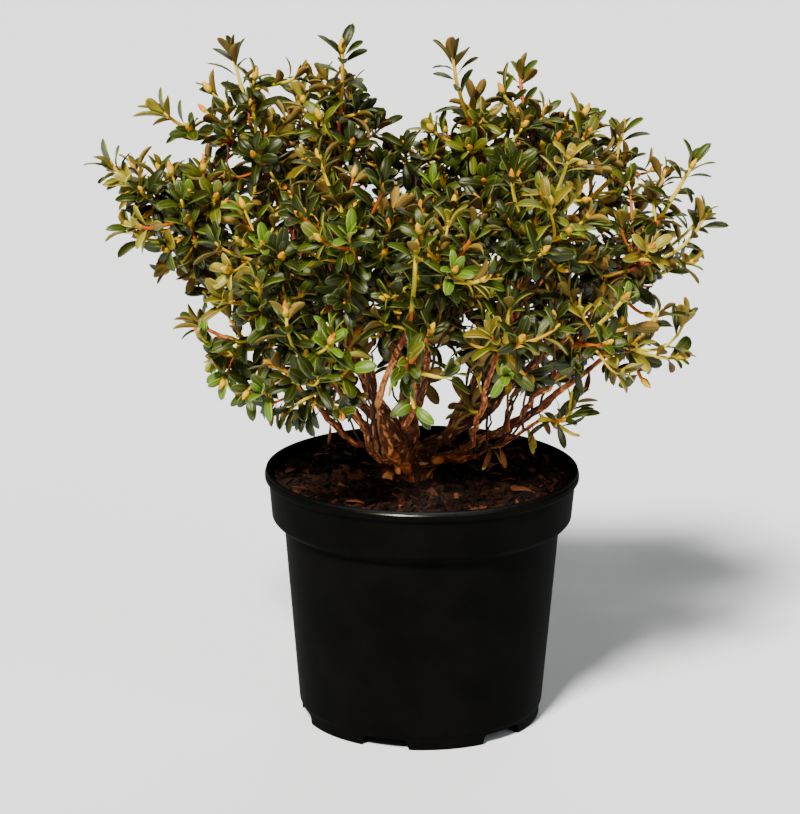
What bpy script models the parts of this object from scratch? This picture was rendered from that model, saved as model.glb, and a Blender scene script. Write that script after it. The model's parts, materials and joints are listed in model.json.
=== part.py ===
"""Small-leaved rhododendron, half a metre tall, in its round black nursery pot.

Blender 4.5, metres, +Z up. The origin is under the middle of the pot, on the surface that it stands
on; the side with the most open foot faces -Y. Every named object is one solid.
"""

import math
import random
from typing import NamedTuple

import bmesh
import bpy
import numpy as np
from mathutils import Matrix, Vector

# Pot: a turned plastic shell with a deep collar, a rolled lip and a ring of feet.
POT_HEIGHT = 0.1875
LIP_RADIUS = 0.115
LIP_DEPTH = 0.0075
LIP_WIDTH = 0.0045
COLLAR_TOP_RADIUS = 0.1122
COLLAR_FOOT_RADIUS = 0.1098
COLLAR_FOOT = 0.1520
WALL_TOP = 0.1470
WALL_TOP_RADIUS = 0.1010
WALL_FOOT = 0.0110
WALL_FOOT_RADIUS = 0.0900
FOOT_RADIUS = 0.0880
WALL_THICKNESS = 0.0018
LIP_ROUND = 0.0020
SHOULDER_IN = 0.0026
SHOULDER_DOWN = 0.0030
INNER_EDGE = 0.0015
FLOOR_UNDERSIDE = 0.0085
FLOOR_THICKNESS = 0.0020
FOOT_RING_WIDTH = 0.0100
POT_STEPS = 40
FEET = 6
FOOT_ARC = math.radians(35)
FOOT_TURN = math.radians(12.5)
SLOT_ROOF = 0.0010
SLOT_DEPTH = 0.0400
SLOT_OUTWARD = 0.0060
SLOT_BELOW = 0.0050
SLOT_TOP_SHARE = 0.90
SLOT_FOOT_SHARE = 1.06
SEAT_GAP = 0.0003

# Potting mix: it fills the pot and dips to a flat round the plant's foot.
MIX_AT_WALL = 0.1790
MIX_TOP = 0.1757
MIX_FLAT_RADIUS = 0.0500
MIX_SLOPE_RADIUS = 0.0800
MIX_SLOPE_SAG = 0.0010

# Trunk: a short stool, cut flat at the mix, with a lobed flare, that forks almost at once.
TRUNK_FOOT = Vector((-0.0100, 0.0150, MIX_TOP + SEAT_GAP))
TRUNK_LEAN = Vector((-0.0010, 0.0010, 0.0240))
TRUNK_RADII = (0.0250, 0.0205, 0.0180, 0.0170, 0.0130)
TRUNK_SIDES = 20
FLARE_LOBES = 5
FLARE_DEPTH = 0.16
FLARE_FADE = 0.6
FLARE_TWIST = 2.0

# Boughs: one tapering limb to each mass of foliage.
BOUGH_POINTS = 6
BOUGH_SWAY = 0.07
BOUGH_BEVEL = 1
BOUGH_STOPS_SHORT = 0.62
BOUGH_BENDS = (0.35, 0.70)  # places of the curve's two inner corners, as shares of the chord
SWAY_AT_BENDS = (2.0, -1.6)
BOW_AT_BENDS = (1.3, 0.7)
FOOT_THICKNESS = 0.0124  # radius for one metre of reach carried; it goes with the square root
END_THICKNESS = 0.0086
FORK_TO_PARENT = 0.8
LEAST_TAPER = 1.1
NEARBY = 2.0

# Foliage: leaves are fewer and larger than life here.
CROWN_HEART = Vector((0.0, 0.010, 0.250))
SPACE_GAP = 0.0004
TIP_INSET = 0.0040
SHOOT_SHARE = 0.0130
FORK_PLACES = (0.20, 0.35, 0.50, 0.65)
TURN_COST = 0.6
TWIG_BOW = 0.35
TWIG_TO_SKY = 0.35
TWIG_TO_OUTSIDE = 0.25
LIMB_GAP = 0.0010
STEM_SPARE = 0.0060
TRIES = 14
TIP_NEAREST = 0.50
TIP_FURTHEST = 0.80
INWARD_LIMIT = -0.25
WAY_WEIGHT = 0.55
WALL_WEIGHT = 2.0
TWIG_POINTS = 4
STEM_RADIUS = 0.0021
STEM_FOOT = 0.0030
TWIG_RADIUS = 0.0015
TWIG_END_RADIUS = 0.0011
GOLDEN_ANGLE = math.radians(137.5)
LEAVES = 4
LEAF_LENGTH = 0.036
LEAF_WIDTH = 0.0150
LEAF_THICKNESS = 0.0012
LEAF_WIDEST = 0.55
LEAF_SUNK = 0.0008
LEAF_FIRST = 0.0035
LEAF_STEP = 0.0055
LEAF_NUDGES = ((0.0, 1.0), (0.7, 1.0), (-0.7, 1.0), (0.0, 0.5), (1.4, 0.8), (-1.4, 0.8))
LEAF_OPENING = math.radians(38)
LEAF_OPENING_STEP = math.radians(9)
LEAF_TO_SKY = 0.45
LEAF_JITTER = 0.15
LEAF_LOWEST = 0.7
LEAF_STRETCH = 1.12
LEADER_STRETCH = 2.2
LEAF_APART = 0.0025
BUD_RISES = (0.0035, 0.0095)
BUD_RADII = (0.0030, 0.0003)
UP = Vector((0.0, 0.0, 1.0))


class Mass(NamedTuple):
    """One mass of foliage and the bough that carries it."""

    name: str
    parent: str  # the limb that its bough forks from
    fork: float  # how far up that limb, from 0 to 1
    centre: tuple  # middle of the space that the mass keeps to
    reach: float  # radius of that space
    bow: float  # how far the bough sags under its chord, as a share of its length


MASSES = (
    Mass("far_left", "trunk", 0.55, (-0.168, -0.045, 0.383), 0.048, -0.04),
    Mass("high_left", "trunk", 0.90, (-0.124, 0.000, 0.424), 0.056, 0.05),
    Mass("front_high", "trunk", 0.60, (0.010, -0.110, 0.365), 0.056, 0.08),
    Mass("far_right", "trunk", 0.70, (0.156, 0.000, 0.343), 0.045, 0.10),
    Mass("back_high", "trunk", 0.95, (0.005, 0.085, 0.358), 0.054, 0.04),
    Mass("low_right", "trunk", 0.35, (0.153, -0.040, 0.296), 0.042, 0.10),
    Mass("low_left", "trunk", 0.30, (-0.120, -0.050, 0.292), 0.047, 0.12),
    Mass("back_left", "trunk", 0.50, (-0.145, 0.060, 0.345), 0.054, 0.10),
    Mass("back_right_low", "trunk", 0.45, (0.105, 0.110, 0.285), 0.055, 0.12),
    Mass("back_low", "trunk", 0.30, (0.000, 0.134, 0.315), 0.052, 0.14),
    Mass("front_left_low", "trunk", 0.25, (-0.070, -0.125, 0.292), 0.050, 0.12),
    Mass("mid_left", "far_left", 0.45, (-0.108, -0.085, 0.350), 0.056, 0.05),
    Mass("top_left", "high_left", 0.40, (-0.062, 0.005, 0.425), 0.053, 0.05),
    Mass("back_left_high", "high_left", 0.25, (-0.085, 0.085, 0.394), 0.056, 0.05),
    Mass("front_left_high", "front_high", 0.40, (-0.055, -0.105, 0.375), 0.056, 0.05),
    Mass("front_low", "front_high", 0.25, (-0.010, -0.148, 0.302), 0.046, 0.10),
    Mass("middle", "back_high", 0.40, (-0.012, -0.012, 0.350), 0.046, 0.05),
    Mass("high_right", "far_right", 0.18, (0.093, 0.015, 0.409), 0.051, 0.08),
    Mass("front_right_high", "far_right", 0.38, (0.075, -0.085, 0.380), 0.057, 0.08),
    Mass("right_front", "low_right", 0.50, (0.115, -0.085, 0.316), 0.051, 0.08),
    Mass("front_right_low", "low_right", 0.25, (0.055, -0.130, 0.316), 0.048, 0.10),
    Mass("lowest_right", "low_right", 0.15, (0.096, -0.060, 0.245), 0.029, 0.10),
    Mass("top_right", "back_high", 0.55, (0.046, -0.005, 0.413), 0.052, 0.05),
    Mass("right_shoulder", "high_right", 0.45, (0.130, 0.048, 0.390), 0.043, 0.08),
    Mass("back_right_high", "back_right_low", 0.30, (0.085, 0.105, 0.368), 0.056, 0.08),
    Mass("right_back", "back_right_low", 0.45, (0.150, 0.070, 0.317), 0.046, 0.08),
    Mass("back_left_low", "back_left", 0.30, (-0.092, 0.118, 0.300), 0.055, 0.10),
)

# Shoots that stand out of the outline, as the places of their rosettes.
LEADERS = {
    "far_left": ((-0.207, -0.045, 0.408),),
    "high_left": ((-0.143, 0.000, 0.474), (-0.176, 0.000, 0.440)),
    "top_left": ((-0.054, 0.000, 0.478),),
    "top_right": ((0.021, 0.000, 0.471),),
    "high_right": ((0.068, 0.000, 0.464),),
    "right_shoulder": ((0.147, 0.045, 0.402),),
    "far_right": ((0.189, 0.005, 0.394), (0.199, 0.005, 0.366)),
    "low_right": ((0.187, -0.030, 0.307),),
    "low_left": ((-0.157, -0.035, 0.303),),
    "front_high": ((-0.006, -0.100, 0.370),),
    "front_right_high": ((0.060, -0.085, 0.415),),
}


def clear_scene():
    for obj in list(bpy.data.objects):
        bpy.data.objects.remove(obj, do_unlink=True)


def collection(name):
    made = bpy.data.collections.new(name)
    bpy.context.scene.collection.children.link(made)
    return made


def material(name, colour, roughness):
    made = bpy.data.materials.new(name)
    made.use_nodes = True
    shader = made.node_tree.nodes["Principled BSDF"]
    shader.inputs["Base Color"].default_value = (*colour, 1.0)
    shader.inputs["Roughness"].default_value = roughness
    shader.inputs["Metallic"].default_value = 0.0
    return made


def add(name, data, where, finish=None):
    obj = bpy.data.objects.new(name, data)
    where.objects.link(obj)
    if finish:
        data.materials.append(finish)
    return obj


def evaluated_mesh(obj):
    bpy.context.view_layer.update()
    graph = bpy.context.evaluated_depsgraph_get()
    return bpy.data.meshes.new_from_object(obj.evaluated_get(graph), depsgraph=graph)


def cutter_look(obj):
    obj.hide_render = True
    obj.display_type = "WIRE"


def smooth(mesh, sharp_degrees=40):
    mesh.shade_smooth()
    mesh.set_sharp_from_angle(angle=math.radians(sharp_degrees))


# Turned shapes: a closed profile of (radius, height) points, outer side first and top to bottom.
def turned(name, profile, steps, where, finish):
    mesh = bpy.data.meshes.new(name)
    shape = bmesh.new()
    points = [shape.verts.new((radius, 0.0, height)) for radius, height in profile]
    for start, end in zip(points, points[1:]):
        shape.edges.new((start, end))
    shape.to_mesh(mesh)
    shape.free()
    obj = add(name, mesh, where, finish)
    screw = obj.modifiers.new("turn", "SCREW")
    screw.steps = screw.render_steps = steps
    screw.use_merge_vertices = True
    screw.merge_threshold = 0.00001
    screw.use_smooth_shade = True
    return obj


def inner_collar_radius(height):
    """The collar's inner side, which widens evenly from its foot to the lip."""
    foot = COLLAR_FOOT_RADIUS - WALL_THICKNESS
    share = (height - COLLAR_FOOT) / (POT_HEIGHT - LIP_ROUND / 2 - COLLAR_FOOT)
    return foot + share * (LIP_RADIUS - LIP_WIDTH - foot)


def inner_wall_radius(height):
    share = (height - WALL_FOOT) / (WALL_TOP - WALL_FOOT)
    outer = WALL_FOOT_RADIUS + share * (WALL_TOP_RADIUS - WALL_FOOT_RADIUS)
    return outer - WALL_THICKNESS


def pot(where, finish):
    floor_top = FLOOR_UNDERSIDE + FLOOR_THICKNESS
    lip_foot = POT_HEIGHT - LIP_DEPTH
    ring = FOOT_RADIUS - FOOT_RING_WIDTH
    profile = (
        (LIP_RADIUS - LIP_ROUND, POT_HEIGHT),
        (LIP_RADIUS, POT_HEIGHT - LIP_ROUND),
        (COLLAR_TOP_RADIUS, lip_foot),
        (COLLAR_FOOT_RADIUS, COLLAR_FOOT),
        (COLLAR_FOOT_RADIUS - SHOULDER_IN, COLLAR_FOOT - SHOULDER_DOWN),
        (WALL_TOP_RADIUS, WALL_TOP - LIP_ROUND / 2),
        (WALL_FOOT_RADIUS, WALL_FOOT),
        (FOOT_RADIUS, FLOOR_UNDERSIDE),
        (FOOT_RADIUS, 0.0),
        (ring, 0.0),
        (ring, FLOOR_UNDERSIDE),
        (0.0, FLOOR_UNDERSIDE),
    )
    inside = (
        (0.0, floor_top),
        (inner_wall_radius(floor_top) - INNER_EDGE, floor_top),
        (inner_wall_radius(WALL_TOP), WALL_TOP),
        (inner_collar_radius(COLLAR_FOOT), COLLAR_FOOT),
        (LIP_RADIUS - LIP_WIDTH, POT_HEIGHT - LIP_ROUND / 2),
    )
    obj = turned("pot", profile + inside + profile[:1], POT_STEPS, where, finish)
    cut_foot_slots(obj)
    return obj


def cut_foot_slots(body):
    """Drainage slots between the feet, each a wedge that leaves the floor whole."""
    cutters = bpy.data.collections.new("foot_slot_cutters")
    bpy.context.scene.collection.children.link(cutters)
    slot_arc = math.tau / FEET - FOOT_ARC
    slot_middle = FOOT_RADIUS - FOOT_RING_WIDTH / 2
    slot_height = FLOOR_UNDERSIDE - SLOT_ROOF
    for index in range(FEET):
        mesh = bpy.data.meshes.new("foot_slot")
        shape = bmesh.new()
        bmesh.ops.create_cube(shape, size=1.0)
        for vert in shape.verts:
            share = SLOT_TOP_SHARE if vert.co.z > 0 else SLOT_FOOT_SHARE
            vert.co.x *= 2 * slot_middle * math.sin(slot_arc / 2) * share
            vert.co.y *= SLOT_DEPTH
            vert.co.z = slot_height if vert.co.z > 0 else -SLOT_BELOW
        shape.to_mesh(mesh)
        shape.free()
        angle = FOOT_TURN + math.tau * (index + 0.5) / FEET
        cutter = add(f"foot_slot_{index}", mesh, cutters)
        middle = slot_middle + SLOT_OUTWARD
        cutter.location = (middle * math.sin(angle), -middle * math.cos(angle), 0.0)
        cutter.rotation_euler = (0.0, 0.0, angle)
        cutter_look(cutter)
    cut = body.modifiers.new("foot_slots", "BOOLEAN")
    cut.operation = "DIFFERENCE"
    cut.operand_type = "COLLECTION"
    cut.collection = cutters
    cut.solver = "EXACT"


def potting_mix(where, finish):
    floor_top = FLOOR_UNDERSIDE + FLOOR_THICKNESS + SEAT_GAP
    side_gap = 2 * SEAT_GAP
    profile = (
        (0.0, MIX_TOP),
        (MIX_FLAT_RADIUS, MIX_TOP),
        (MIX_SLOPE_RADIUS, (MIX_TOP + MIX_AT_WALL) / 2 - MIX_SLOPE_SAG),
        (inner_collar_radius(MIX_AT_WALL) - side_gap, MIX_AT_WALL),
        (inner_collar_radius(COLLAR_FOOT) - side_gap, COLLAR_FOOT + side_gap),
        (inner_wall_radius(WALL_TOP) - side_gap, WALL_TOP),
        (inner_wall_radius(floor_top) - INNER_EDGE - side_gap, floor_top),
        (0.0, floor_top),
    )
    return turned("potting_mix", profile, POT_STEPS, where, finish)


# Limbs
def trunk_axis(share):
    return TRUNK_FOOT + TRUNK_LEAN * share


def trunk_mesh(margin=0.0):
    """The stool, grown by the margin where it serves to cut the boughs' seats."""
    mesh = bpy.data.meshes.new("trunk")
    shape = bmesh.new()
    rings = len(TRUNK_RADII) - 1
    bmesh.ops.create_cone(
        shape, cap_ends=True, segments=TRUNK_SIDES, radius1=1.0, radius2=1.0, depth=1.0
    )
    sides = [edge for edge in shape.edges if abs(edge.verts[0].co.z - edge.verts[1].co.z) > 0.5]
    bmesh.ops.subdivide_edges(shape, edges=sides, cuts=rings - 1)
    bmesh.ops.triangulate(shape, faces=shape.faces[:])
    for vert in shape.verts:
        share = vert.co.z + 0.5
        angle = math.atan2(vert.co.y, vert.co.x)
        radius = float(np.interp(share * rings, range(rings + 1), TRUNK_RADII)) + margin
        lobes = FLARE_DEPTH * (1.0 - FLARE_FADE * share)
        radius *= 1.0 + lobes * math.sin(FLARE_LOBES * angle + FLARE_TWIST * share)
        place = trunk_axis(share) + Vector((math.cos(angle), math.sin(angle), 0.0)) * radius
        vert.co = place + UP * (margin * (2.0 * share - 1.0))
    shape.to_mesh(mesh)
    shape.free()
    return mesh


class Limb(NamedTuple):
    """A tapering limb: its centre line, the radius at each point of it, and its name."""

    name: str
    line: np.ndarray
    radii: np.ndarray


def bezier(corners, count):
    """Points of a Bezier curve of any degree."""
    degree = len(corners) - 1
    shares = np.linspace(0.0, 1.0, count)[:, None]
    weights = (
        math.comb(degree, k) * shares**k * (1.0 - shares) ** (degree - k)
        for k in range(degree + 1)
    )
    return sum(weight * np.array(corner) for weight, corner in zip(weights, corners))


def place_on(line, share):
    """Point and direction at this share of a line's points."""
    at = share * (len(line) - 1)
    first = min(int(at), len(line) - 2)
    step = line[first + 1] - line[first]
    return line[first] + (at - first) * step, step / np.linalg.norm(step)


def weights():
    """What each bough carries: the reach of its mass and of all that forks from it."""
    carried = {mass.name: mass.reach for mass in MASSES}
    for mass in reversed(MASSES):
        if mass.parent != "trunk":
            carried[mass.parent] += carried[mass.name]
    return carried


def boughs():
    """Every bough as a limb, in the order of the table, so that a parent comes before its forks."""
    made = {}
    carried = weights()
    for mass in MASSES:
        centre = Vector(mass.centre)
        if mass.parent == "trunk":
            start = trunk_axis(mass.fork)
        else:
            start = Vector(place_on(made[mass.parent].line, mass.fork)[0])
        chord = centre - start
        tip = centre - chord.normalized() * (BOUGH_STOPS_SHORT * mass.reach)
        chord = tip - start
        dice = random.Random(f"{mass.name} bough")
        side = chord.cross(UP).normalized() * dice.uniform(-BOUGH_SWAY, BOUGH_SWAY)
        bends = [
            start + chord * share + (side * sway - UP * mass.bow * bow) * chord.length
            for share, sway, bow in zip(BOUGH_BENDS, SWAY_AT_BENDS, BOW_AT_BENDS)
        ]
        line = bezier((start, *bends, tip), BOUGH_POINTS)
        foot = FOOT_THICKNESS * math.sqrt(carried[mass.name])
        end = END_THICKNESS * math.sqrt(mass.reach)
        if mass.parent != "trunk":
            shares = np.linspace(0.0, 1.0, BOUGH_POINTS)
            at_fork = float(np.interp(mass.fork, shares, made[mass.parent].radii))
            foot = min(foot, FORK_TO_PARENT * at_fork)
        radii = np.linspace(max(foot, end * LEAST_TAPER), end, BOUGH_POINTS)
        made[mass.name] = Limb(mass.name, line, radii)
    return made


def tube(name, line, radii, where, sides=None, finish=None):
    """A curve with a point at each place of the line. With sides, its section is that polygon."""
    data = bpy.data.curves.new(name, "CURVE")
    data.dimensions = "3D"
    data.use_fill_caps = True
    data.bevel_resolution = BOUGH_BEVEL
    data.bevel_depth = 1.0
    if sides:
        data.bevel_mode = "OBJECT"
        data.bevel_object = section(sides)
    spline = data.splines.new("POLY")
    spline.points.add(len(line) - 1)
    for point, place, radius in zip(spline.points, line, radii):
        point.co = (*place, 1.0)
        point.radius = radius
    return add(name, data, where, finish)


def section(sides):
    """A unit polygon that a twig's curve is swept with."""
    name = f"section_{sides}"
    if name in bpy.data.objects:
        return bpy.data.objects[name]
    data = bpy.data.curves.new(name, "CURVE")
    data.dimensions = "2D"
    spline = data.splines.new("POLY")
    spline.points.add(sides - 1)
    spline.use_cyclic_u = True
    for index, point in enumerate(spline.points):
        angle = math.tau * index / sides
        point.co = (math.cos(angle), math.sin(angle), 0.0, 1.0)
    obj = add(name, data, bpy.data.collections["cutters"])
    cutter_look(obj)
    return obj


def as_mesh(obj):
    """The object as a mesh of its own, its caps welded to its sides."""
    mesh = evaluated_mesh(obj)
    shape = bmesh.new()
    shape.from_mesh(mesh)
    bmesh.ops.remove_doubles(shape, verts=shape.verts, dist=0.00001)
    bmesh.ops.recalc_face_normals(shape, faces=shape.faces)
    shape.to_mesh(mesh)
    shape.free()
    where = obj.users_collection[0]
    name, placed = obj.name, obj.matrix_world.copy()
    bpy.data.objects.remove(obj, do_unlink=True)
    made = add(name, mesh, where)
    made.matrix_world = placed
    return made


def seat(obj, cutters):
    """Cuts the foot of a bough to the limbs that it grows from and beside, with a fine gap."""
    for cutter in cutters:
        cutter_look(cutter)
        cut = obj.modifiers.new("seat", "BOOLEAN")
        cut.operation = "DIFFERENCE"
        cut.solver = "MANIFOLD"
        cut.object = cutter
        mesh = evaluated_mesh(obj)
        obj.modifiers.clear()
        obj.data = mesh
        keep_largest(mesh)


def close_by(one, other):
    """Whether two limbs come near enough to touch."""
    gaps = np.linalg.norm(one.line[:, None, :] - other.line, axis=2)
    return bool((gaps < NEARBY * (one.radii[:, None] + other.radii)).any())


def keep_largest(mesh):
    """Drops loose scraps and sealed hollows that a Boolean left beside the main body."""
    shape = bmesh.new()
    shape.from_mesh(mesh)
    left = set(shape.verts)
    bodies = []
    while left:
        todo = [left.pop()]
        body = set(todo)
        while todo:
            for edge in todo.pop().link_edges:
                for vert in edge.verts:
                    if vert in left:
                        left.remove(vert)
                        body.add(vert)
                        todo.append(vert)
        bodies.append(body)
    bodies.sort(key=len)
    loose = [vert for body in bodies[:-1] for vert in body]
    bmesh.ops.delete(shape, geom=loose, context="VERTS")
    shape.to_mesh(mesh)
    shape.free()


def build_limbs(limbs, where, cutters, finish):
    stool = add("trunk", trunk_mesh(), where, finish)
    smooth(stool.data)
    seats = {"trunk": add("trunk_seat", trunk_mesh(SEAT_GAP), cutters)}
    for mass in MASSES:
        limb = limbs[mass.name]
        obj = as_mesh(tube(f"bough_{mass.name}", limb.line, limb.radii, where))
        beside = [
            seats[other]
            for other in seats
            if other not in ("trunk", mass.parent) and close_by(limb, limbs[other])
        ]
        grown_from = {mass.parent, "trunk"}
        seat(obj, [seats[other] for other in sorted(grown_from)] + beside)
        obj.data.materials.clear()
        obj.data.materials.append(finish)
        smooth(obj.data)
        grown = tube(f"seat_{mass.name}", limb.line, limb.radii + SEAT_GAP, cutters)
        seats[mass.name] = as_mesh(grown)
    for cutter in seats.values():
        bpy.data.objects.remove(cutter, do_unlink=True)


# Space of a mass: a ball, cut by the planes that part it from its neighbours.
class Space:
    def __init__(self, mass):
        self.centre = np.array(mass.centre)
        self.reach = mass.reach
        others = [other for other in MASSES if other is not mass]
        away = np.array([other.centre for other in others]) - self.centre
        spans = np.linalg.norm(away, axis=1)
        self.normals = away / spans[:, None]
        reaches = np.array([other.reach for other in others])
        self.walls = (spans**2 + self.reach**2 - reaches**2) / (2.0 * spans)

    def room(self, place):
        """How far the place lies from the nearest wall."""
        return float((self.walls - (place - self.centre) @ self.normals.T).min())

    def holds(self, points, inset=0.0, stretch=1.0):
        away = np.atleast_2d(points) - self.centre
        if (np.linalg.norm(away, axis=1) > self.reach * stretch).any():
            return False
        return bool((away @ self.normals.T <= self.walls - SPACE_GAP - inset).all())


def clear_of(points, limbs, margin, spare=None):
    """Whether the points keep off every limb. Points near the spare place aren't tested."""
    points = np.atleast_2d(points)
    if spare is not None:
        points = points[np.linalg.norm(points - spare, axis=1) > STEM_SPARE]
    for limb in limbs.values():
        starts, steps = limb.line[:-1], np.diff(limb.line, axis=0)
        away = points[:, None, :] - starts
        share = np.clip((away * steps).sum(2) / (steps * steps).sum(1), 0.0, 1.0)
        gaps = np.linalg.norm(away - share[..., None] * steps, axis=2)
        radii = limb.radii[:-1] + share * np.diff(limb.radii)
        if (gaps < radii + margin).any():
            return False
    return True


def unit(vector):
    return vector / np.linalg.norm(vector)


def shoot_tips(mass, space, count):
    """Places of the rosettes: the leaders, then seeded tries, each the furthest from those before."""
    leaders = [np.array(place) for place in LEADERS.get(mass.name, ())]
    tips = list(leaders)
    outward = unit(space.centre - np.array(CROWN_HEART))
    for index in range(count - len(leaders)):
        dice = random.Random(f"{mass.name} tip {index}")
        best, best_gap = None, 0.0
        for _ in range(TRIES):
            way = unit(np.array([dice.gauss(0.0, 1.0) for _ in range(3)]))
            if way @ outward < INWARD_LIMIT:
                way = -way
            place = space.centre + way * mass.reach * dice.uniform(TIP_NEAREST, TIP_FURTHEST)
            if not space.holds(place, TIP_INSET):
                continue
            gap = min((np.linalg.norm(place - tip) for tip in tips), default=1.0)
            gap = min(gap, WALL_WEIGHT * space.room(place))
            if gap > best_gap:
                best, best_gap = place, gap
        if best is not None:
            tips.append(best)
    return tips


def grow(mass, space, base, heading, tips, points):
    """Twigs as lines of points: a stem to the first tip, and one to each other tip from the
    place on an earlier twig that keeps its whole way from the base short."""
    outward = unit(space.centre - np.array(CROWN_HEART))
    twigs, feet = [], []
    for tip in tips:
        start, leave, way = base, heading, 0.0
        if twigs:
            best = math.inf
            for line, foot in zip(twigs, feet):
                spans = np.linalg.norm(np.diff(line, axis=0), axis=1)
                for share in FORK_PLACES:
                    place, along = place_on(line, share)
                    walked = foot + share * spans.sum()
                    onward = unit(tip - place)
                    turning = 1.0 + TURN_COST * (1.0 - onward @ along)
                    cost = np.linalg.norm(tip - place) * turning
                    if cost + WAY_WEIGHT * walked < best:
                        best = cost + WAY_WEIGHT * walked
                        start, leave, way = place, unit(along + onward), walked
        bow = TWIG_BOW * np.linalg.norm(tip - start)
        arrive = unit(unit(tip - start) + TWIG_TO_SKY * np.array(UP) + TWIG_TO_OUTSIDE * outward)
        line = bezier((start, start + leave * bow, tip - arrive * bow, tip), points)
        if not twigs:
            line = np.insert(line, 1, start + leave * STEM_FOOT, axis=0)
        twigs.append(line)
        feet.append(way)
    return twigs


def rosette(line, name):
    """Leaves at a shoot's end, in a golden-angle spiral. Each is a list of tries, one for each
    nudge, and a try is the leaf's root, its direction and its upper side."""
    dice = random.Random(name)
    turn = dice.uniform(0.0, math.tau)
    spans = np.linalg.norm(np.diff(line, axis=0), axis=1)
    for index in range(LEAVES):
        back = 1.0 - min(LEAF_LOWEST, (LEAF_FIRST + LEAF_STEP * index) / spans.sum())
        root, axis = place_on(line, back)
        side = unit(np.cross(axis, (0.3, 0.9, 0.2)))
        across = np.cross(axis, side)
        jitter = dice.uniform(-LEAF_JITTER, LEAF_JITTER)
        tries = []
        for nudge, closing in LEAF_NUDGES:
            angle = turn + GOLDEN_ANGLE * index + nudge
            radial = side * math.cos(angle) + across * math.sin(angle)
            opening = (LEAF_OPENING + LEAF_OPENING_STEP * index + jitter) * closing
            along = axis * math.cos(opening) + radial * math.sin(opening)
            upper = axis * math.sin(opening) - radial * math.cos(opening)
            sky = np.array(UP) - along * along[2]
            tries.append((root, along, unit(upper + LEAF_TO_SKY * sky)))
        yield tries


def leaf_mesh():
    """A flat spindle of eight faces along its own Z."""
    mesh = bpy.data.meshes.new("leaf")
    shape = bmesh.new()
    bmesh.ops.create_uvsphere(shape, u_segments=4, v_segments=2, radius=1.0)
    for vert in shape.verts:
        across, flat, along = vert.co
        rise = LEAF_WIDEST if abs(along) < 0.5 else float(along > 0.0)
        vert.co = (across * LEAF_WIDTH / 2, flat * LEAF_THICKNESS / 2, rise * LEAF_LENGTH)
    shape.to_mesh(mesh)
    shape.free()
    return mesh


def leaf_points(root, along, upper):
    """A grid over the blade, to test where it reaches."""
    side = np.cross(along, upper)
    grid = [root + along * LEAF_LENGTH]
    for share in np.linspace(0.15, 0.95, 7):
        near = share / LEAF_WIDEST if share < LEAF_WIDEST else (1 - share) / (1 - LEAF_WIDEST)
        for lane in (-1.0, -0.5, 0.0, 0.5, 1.0):
            grid.append(root + along * LEAF_LENGTH * share + side * lane * near * LEAF_WIDTH / 2)
    return np.array(grid)


def placed(name, mesh, root, along, upper, sunk, where):
    side = np.cross(upper, along)
    turned_to = Matrix(np.column_stack((side, upper, along)).tolist()).to_4x4()
    obj = add(name, mesh, where)
    obj.matrix_world = Matrix.Translation(Vector(root - along * sunk)) @ turned_to
    return obj


def foliage(mass, limbs, blade, where, finish):
    """One mass: its twigs, with a bud at each end, and its leaves made one solid."""
    space = Space(mass)
    limb = limbs[mass.name]
    heading = unit(limb.line[-1] - limb.line[-2])
    base = limb.line[-1] + heading * SEAT_GAP
    tips = shoot_tips(mass, space, round(mass.reach / SHOOT_SHARE))
    pieces = bpy.data.collections.new(f"pieces_{mass.name}")
    bpy.context.scene.collection.children.link(pieces)
    leaders = len(LEADERS.get(mass.name, ()))
    stem = None
    blades = np.full((1, 3), math.inf)
    for number, line in enumerate(grow(mass, space, base, heading, tips, TWIG_POINTS)):
        fits = space.holds(line, TWIG_RADIUS, LEADER_STRETCH)
        if number and not (fits and clear_of(line, limbs, TWIG_RADIUS + LIMB_GAP, base)):
            continue
        start = TWIG_RADIUS if number else STEM_RADIUS
        radii = np.append(np.linspace(start, TWIG_END_RADIUS, len(line)), BUD_RADII)
        end = unit(line[-1] - line[-2])
        budded = np.append(line, [line[-1] + end * rise for rise in BUD_RISES], axis=0)
        twig = as_mesh(tube(f"twig_{number}", budded, radii, pieces, sides=3))
        if stem is None:
            stem = twig
        stretch = LEADER_STRETCH if number < leaders else LEAF_STRETCH
        for tries in rosette(line, f"{mass.name} shoot {number}"):
            for root, along, upper in tries:
                grid = leaf_points(root, along, upper)
                apart = np.linalg.norm(grid[:, None, :] - blades, axis=2).min()
                if (
                    apart > LEAF_APART
                    and space.holds(grid, LEAF_THICKNESS, stretch)
                    and clear_of(grid, limbs, LEAF_THICKNESS + LIMB_GAP)
                ):
                    placed("leaf", blade, root, along, upper, LEAF_SUNK, pieces)
                    blades = np.append(blades, grid, axis=0)
                    break
    fuse(stem, pieces, f"foliage_{mass.name}", where, finish)


def fuse(stem, pieces, name, where, finish):
    """One Boolean union of a stem and all that stands on it."""
    pieces.objects.unlink(stem)
    where.objects.link(stem)
    union = stem.modifiers.new("union", "BOOLEAN")
    union.operation = "UNION"
    union.operand_type = "COLLECTION"
    union.collection = pieces
    union.solver = "MANIFOLD"
    mesh = evaluated_mesh(stem)
    stem.modifiers.clear()
    for obj in list(pieces.objects):
        bpy.data.objects.remove(obj, do_unlink=True)
    bpy.data.collections.remove(pieces)
    keep_largest(mesh)
    mesh.materials.clear()
    mesh.materials.append(finish)
    stem.data = mesh
    stem.name = mesh.name = name


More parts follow.
